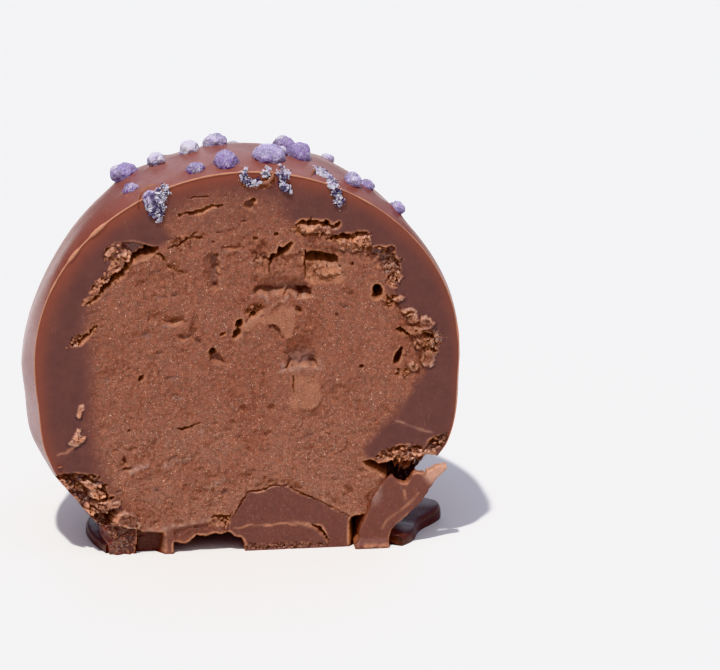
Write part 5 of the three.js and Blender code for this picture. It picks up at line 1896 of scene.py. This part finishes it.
    def pool(self) -> Skin:
        """Builds the foot's uneven edge, from behind the chip round the back to the heel."""
        degrees = np.linspace(-22.0, 198.0, 460)
        turns = np.radians(degrees)
        ripple = crumple(np.stack([5 * np.cos(turns), 5 * np.sin(turns), 0 * turns], axis=1), 1.6, 81)
        runs = ((3.9, 7, 13), (1.5, -16, 11), (0.9, 168, 22))  # how far, at how many degrees, and how wide
        drawn = sum(far * np.exp(-(((degrees - at) / wide) ** 2)) for far, at, wide in runs)
        outer = self.form.foot_radius * swell_at(np.cos(turns), np.sin(turns)) + 0.05 + 0.08 * ripple + drawn
        height = 0.86 - 0.08 * ripple + 0.12 * drawn
        inner, lip = 8.2, 0.3
        rings = []
        for share in np.linspace(0, 2, 22):
            if share < 1:
                radius, level = inner + (outer - lip - inner) * share, height * (1 - 0.25 * share * share)
            else:
                angle = (share - 1) * (math.pi / 2 + 0.5)
                radius = outer - lip + lip * math.sin(angle)
                fall = 0.35 + 0.65 * math.cos(min(angle, math.pi / 2)) - 0.35 * ease(angle, 1.0, 2.0)
                level = np.maximum(0.75 * height * fall, 0)
            rings.append(np.stack([radius * np.cos(turns), radius * np.sin(turns), level], axis=1))
        count, around = len(rings), len(turns)
        flat = np.concatenate(rings)
        flat[:, 2] = np.maximum(flat[:, 2] + 0.03 * crumple(flat, 0.9, 82) * (flat[:, 2] > 0.05), 0)
        ids = np.arange(count * around).reshape(count, around)
        quads = np.stack([ids[:-1, :-1], ids[1:, :-1], ids[1:, 1:], ids[:-1, 1:]], axis=-1).reshape(-1, 4)
        ends = [tuple(ids[:, 0].tolist()), tuple(ids[::-1, -1].tolist())]
        return Skin(flat, [tuple(quad) for quad in quads.tolist()] + ends)

    def backed(self, front: Skin, loop: np.ndarray) -> Skin:
        """Closes the filling's side of the cut with the form that the filling has behind it."""
        edge, form = front.points[loop], self.form
        rings = Rings(centre=(0, -0.5, 12), pole=(0, 1, 0.1), around=160, count=18, reach=20, power=1.0)

        def outside(x: np.ndarray, y: np.ndarray, z: np.ndarray) -> np.ndarray:
            """Returns how far outside the room in the shell a point lies."""
            walls = np.maximum(form.room.outside(x, y, z), np.maximum(form.floor - z, form.cut + 0.05 - y))
            mound = form.mound.outside(x - form.mound_x, y, z)
            return np.maximum(walls, np.where(z > form.mound.girth, -mound, -FAR))

        points, _ = rings.over(edge, outside)
        back = rings.skin(edge, points)
        back.masks = {"ganache": np.ones(len(back.points))}
        return Skin.merged([front, back])

    def chip(self) -> Skin:
        """Builds the broken piece of the wall, moved outwards."""
        form, size = self.form, 0.09
        low, high = box_mm("broken_chip")
        low, high = low - 0.5, high + 0.5
        low[2] = -0.3
        counts = np.ceil((high - low) / size).astype(int)
        x, y, z = np.meshgrid(*(low[a] + size * np.arange(counts[a]) for a in range(3)), indexing="ij")
        place = np.stack([x, y, z], axis=-1)
        rough = crumple(place, 0.9, 91)
        back_x, back_y = x - 0.3 - 0.5 * ease(z, 2.5, 6.3), y + 0.4
        body = form.outline(back_x, back_y, z) + 0.03 * rough
        inner = -form.room.outside(back_x, back_y, z) - 0.1 + 0.1 * rough
        fringe = 0.1 * crumple(place, 0.32, 96) * ease(z, 1.2, 1.6)
        side = signed_distance(x, z, CHIP_EDGE) + 0.04 * rough + fringe
        front = form.cut - 0.4 - y + 0.02 * crumple(place, 2.0, 93, 2) - 0.3 * ease(z, 0.9, 0.1)
        back = y - (form.cut + 3.4 - 3.1 * ease(z, 3.0, 4.5)) + 0.4 * rough * ease(z, 5.5, 4.0)
        solid = np.maximum.reduce([body - 1.2, side, front, back, -z, np.where(z > 2.4, inner, -FAR)])
        grid = openvdb.FloatGrid(FAR)
        grid.copyFromArray(np.clip(solid, -0.5, 0.5).astype(np.float32))
        points, triangles, quads = grid.convertToPolygons()
        points = low + points * size
        faces = [tuple(face) for face in triangles.tolist() + quads.tolist()]
        return Skin(points, faces, self.chip_masks(points))

    def chip_masks(self, points: np.ndarray) -> dict[str, np.ndarray]:
        """Colours the broken piece: pale along its torn edge, at its tip and its foot, with two scratches."""
        x, z = points[:, 0], points[:, 2]
        facing = points[:, 1] < self.form.cut - 0.32
        tip = ease(x + 0.45 * (z - 5), 11.9, 12.6) * ease(z, 4.1, 5.1)
        scratch = 0 * tip
        for path in CHIP_SCRATCHES:
            distance, _, _ = to_path(x, z, path)
            scratch = np.maximum(scratch, ease(distance + 0.08 * crumple(points, 0.4, 94), 0.12, 0.02))
        worn = ease(crumple(points, 0.9, 95), -0.2, 0.5)
        torn = 0.7 * worn * ease(signed_distance(x, z, CHIP_EDGE), -0.16, -0.02)
        crumb = np.where(facing, np.maximum(torn, 0.6 * scratch * (0.4 + 0.6 * worn)), 0.15 + 0.3 * worn)
        foot = ease(z, 0.5, 0.2) * facing * ease(crumple(points, 0.25, 97), -0.2, 0.3)
        crumb = np.maximum.reduce([crumb, 0.66 * tip, 0.6 * foot])
        crumb *= np.where(z > 0.8, 0.25 + 0.75 * ease(x - 7.4 - 0.36 * z, 0.2, 0.8), 1.0)
        bloom = ease(np.hypot((x - 8.7) / 0.7, (z - 4.1) / 1.4), 1.0, 0.2)
        frost = np.clip(0.5 * tip + 0.35 * bloom * facing, 0, 1)
        return {"ganache": 0 * tip + 0.2, "crumb": crumb, "frost": frost, "warm": 0 * tip + 0.1}

    def crumbs(self) -> Skin:
        """Scatters loose crumbs where the cut is torn."""
        face, dice = self.face, np.random.default_rng(5)
        corners, faces = ball(1)
        parts = []
        for patch in RUBBLE:
            turn = math.radians(patch.tilt)
            for _ in range(int(2 + 3 * patch.width * patch.height)):
                a, b = dice.normal(size=2) * 0.27
                x = np.array([patch.x + a * patch.width * math.cos(turn) - b * patch.height * math.sin(turn)])
                z = np.array([patch.z + a * patch.width * math.sin(turn) + b * patch.height * math.cos(turn)])
                if face.sample(face.outline, x, z)[0] > -0.2:
                    continue
                size = dice.uniform(0.05, 0.16)
                turned = np.array(Euler(dice.uniform(0, 6.3, 3)).to_matrix())
                stretch = np.array([1.3, 0.9, 0.45]) * dice.uniform(0.7, 1.3, 3) * size
                swell = 1 + 0.45 * crumple(corners + dice.uniform(0, 50, 3), 0.9, 5)
                lump = corners * swell[:, None] * stretch
                points = face.lifted(x, z)[0] + lump @ turned + np.array([0, -0.3 * size, 0])
                pale = np.full(len(corners), np.clip(dice.normal(0.3, 0.25), 0, 1))
                parts.append(Skin(points, faces, {"pale": pale}))
        return Skin.merged(parts)

    def stones(self) -> None:
        """Builds the sugar crystals."""
        for name in CRYSTALS:
            number = int(name[-2:])
            if number in CUT_STONES:
                stone = CutStone(name, 300 + number, self.form, *CUT_STONES[number])
            else:
                frost, glow = TONES.get(number, (0.35, 0.35))
                stone = Stone(name, 300 + number, frost, glow, *MOVES.get(number, ()))
            piece = stone.skin().made(name.replace("crystal", "sugar"), self.finishes.sugar, smooth=False)
            self.settle(piece, name)


# ---- Studio ----------------------------------------------------------------------------------------------


@dataclass(frozen=True)
class Studio:
    """The floor, the light and the camera."""

    floor: Material
    sun_way: Place = (0.22, 0.41, -1.0)
    sun_strength: float = 3.4
    sun_colour: Colour = (1.0, 0.985, 0.93)
    sun_angle: float = 2.5
    sky: Colour = (0.640, 0.655, 0.790)
    horizon: Colour = (0.120, 0.115, 0.135)
    window: Colour = (1.15, 1.20, 1.40)
    elevation: float = 17.5
    azimuth: float = -7.1
    distance: float = 310.0
    lens: float = 221.0
    aim_right: float = 8.14
    aim_up: float = 13.79

    def build(self) -> None:
        """Builds all three."""
        scene = bpy.context.scene
        bpy.ops.mesh.primitive_plane_add(size=3.0, location=(0, 0, 0))
        ground = bpy.context.object
        ground.name = "floor"
        ground.data.materials.append(self.floor)
        scene.world = bpy.data.worlds.new("sky")
        scene.world.use_nodes = True
        weave = Weave(scene.world.node_tree)
        way = weave.add("TexCoord").outputs["Generated"]
        right, ahead, up = weave.add("SeparateXYZ", {"Vector": way}).outputs
        colour = weave.mix(weave.ramp(up, 0.0, 0.24), self.horizon, self.sky)
        behind = weave.ramp(ahead, 0.0, 0.4)
        left = weave.times(weave.ramp(right, -0.1, -0.4), behind)
        colour = weave.mix(weave.times(left, 0.6), colour, self.horizon)
        above = weave.times(weave.ramp(right, -0.25, 0.0), weave.ramp(up, 0.14, 0.3))
        colour = weave.mix(weave.times(above, weave.ramp(ahead, 0.7, 0.9)), colour, self.window)
        weave.tree.links.new(colour, weave.tree.nodes["Background"].inputs["Color"])
        sun = bpy.data.lights.new("sun", "SUN")
        sun.energy, sun.color, sun.angle = self.sun_strength, self.sun_colour, math.radians(self.sun_angle)
        lamp = bpy.data.objects.new("sun", sun)
        lamp.rotation_euler = Vector(self.sun_way).to_track_quat("-Z", "Y").to_euler()
        scene.collection.objects.link(lamp)
        scene.view_settings.view_transform = "Khronos PBR Neutral"
        scene.camera = self.camera()
        scene.collection.objects.link(scene.camera)

    def camera(self) -> bpy.types.Object:
        """Returns the camera, which looks slightly down at the cut."""
        up_angle, turn = math.radians(self.elevation), math.radians(self.azimuth)
        level = math.cos(up_angle)
        back = Vector((math.sin(turn) * level, -math.cos(turn) * level, math.sin(up_angle)))
        right = Vector((0, 0, 1)).cross(back).normalized()
        up = back.cross(right)
        aim = self.aim_right * right + self.aim_up * up
        data = bpy.data.cameras.new("camera")
        data.lens, data.clip_start, data.clip_end = self.lens, 0.01, 10.0
        camera = bpy.data.objects.new("camera", data)
        camera.location = (aim + self.distance * back) * MM
        camera.rotation_euler = back.to_track_quat("Z", "Y").to_euler()
        return camera


def main() -> None:
    """Builds the bonbon, then the studio around it."""
    logging.basicConfig(level=logging.INFO, format="%(message)s")
    form = Form()
    face = Knife(form).carve()
    LOG.info("cut carved: %d by %d places", *face.x.shape)
    finishes = Finishes()
    Bonbon(form, face, finishes).build()
    Studio(finishes.floor).build()


if __name__ == "__main__":
    main()
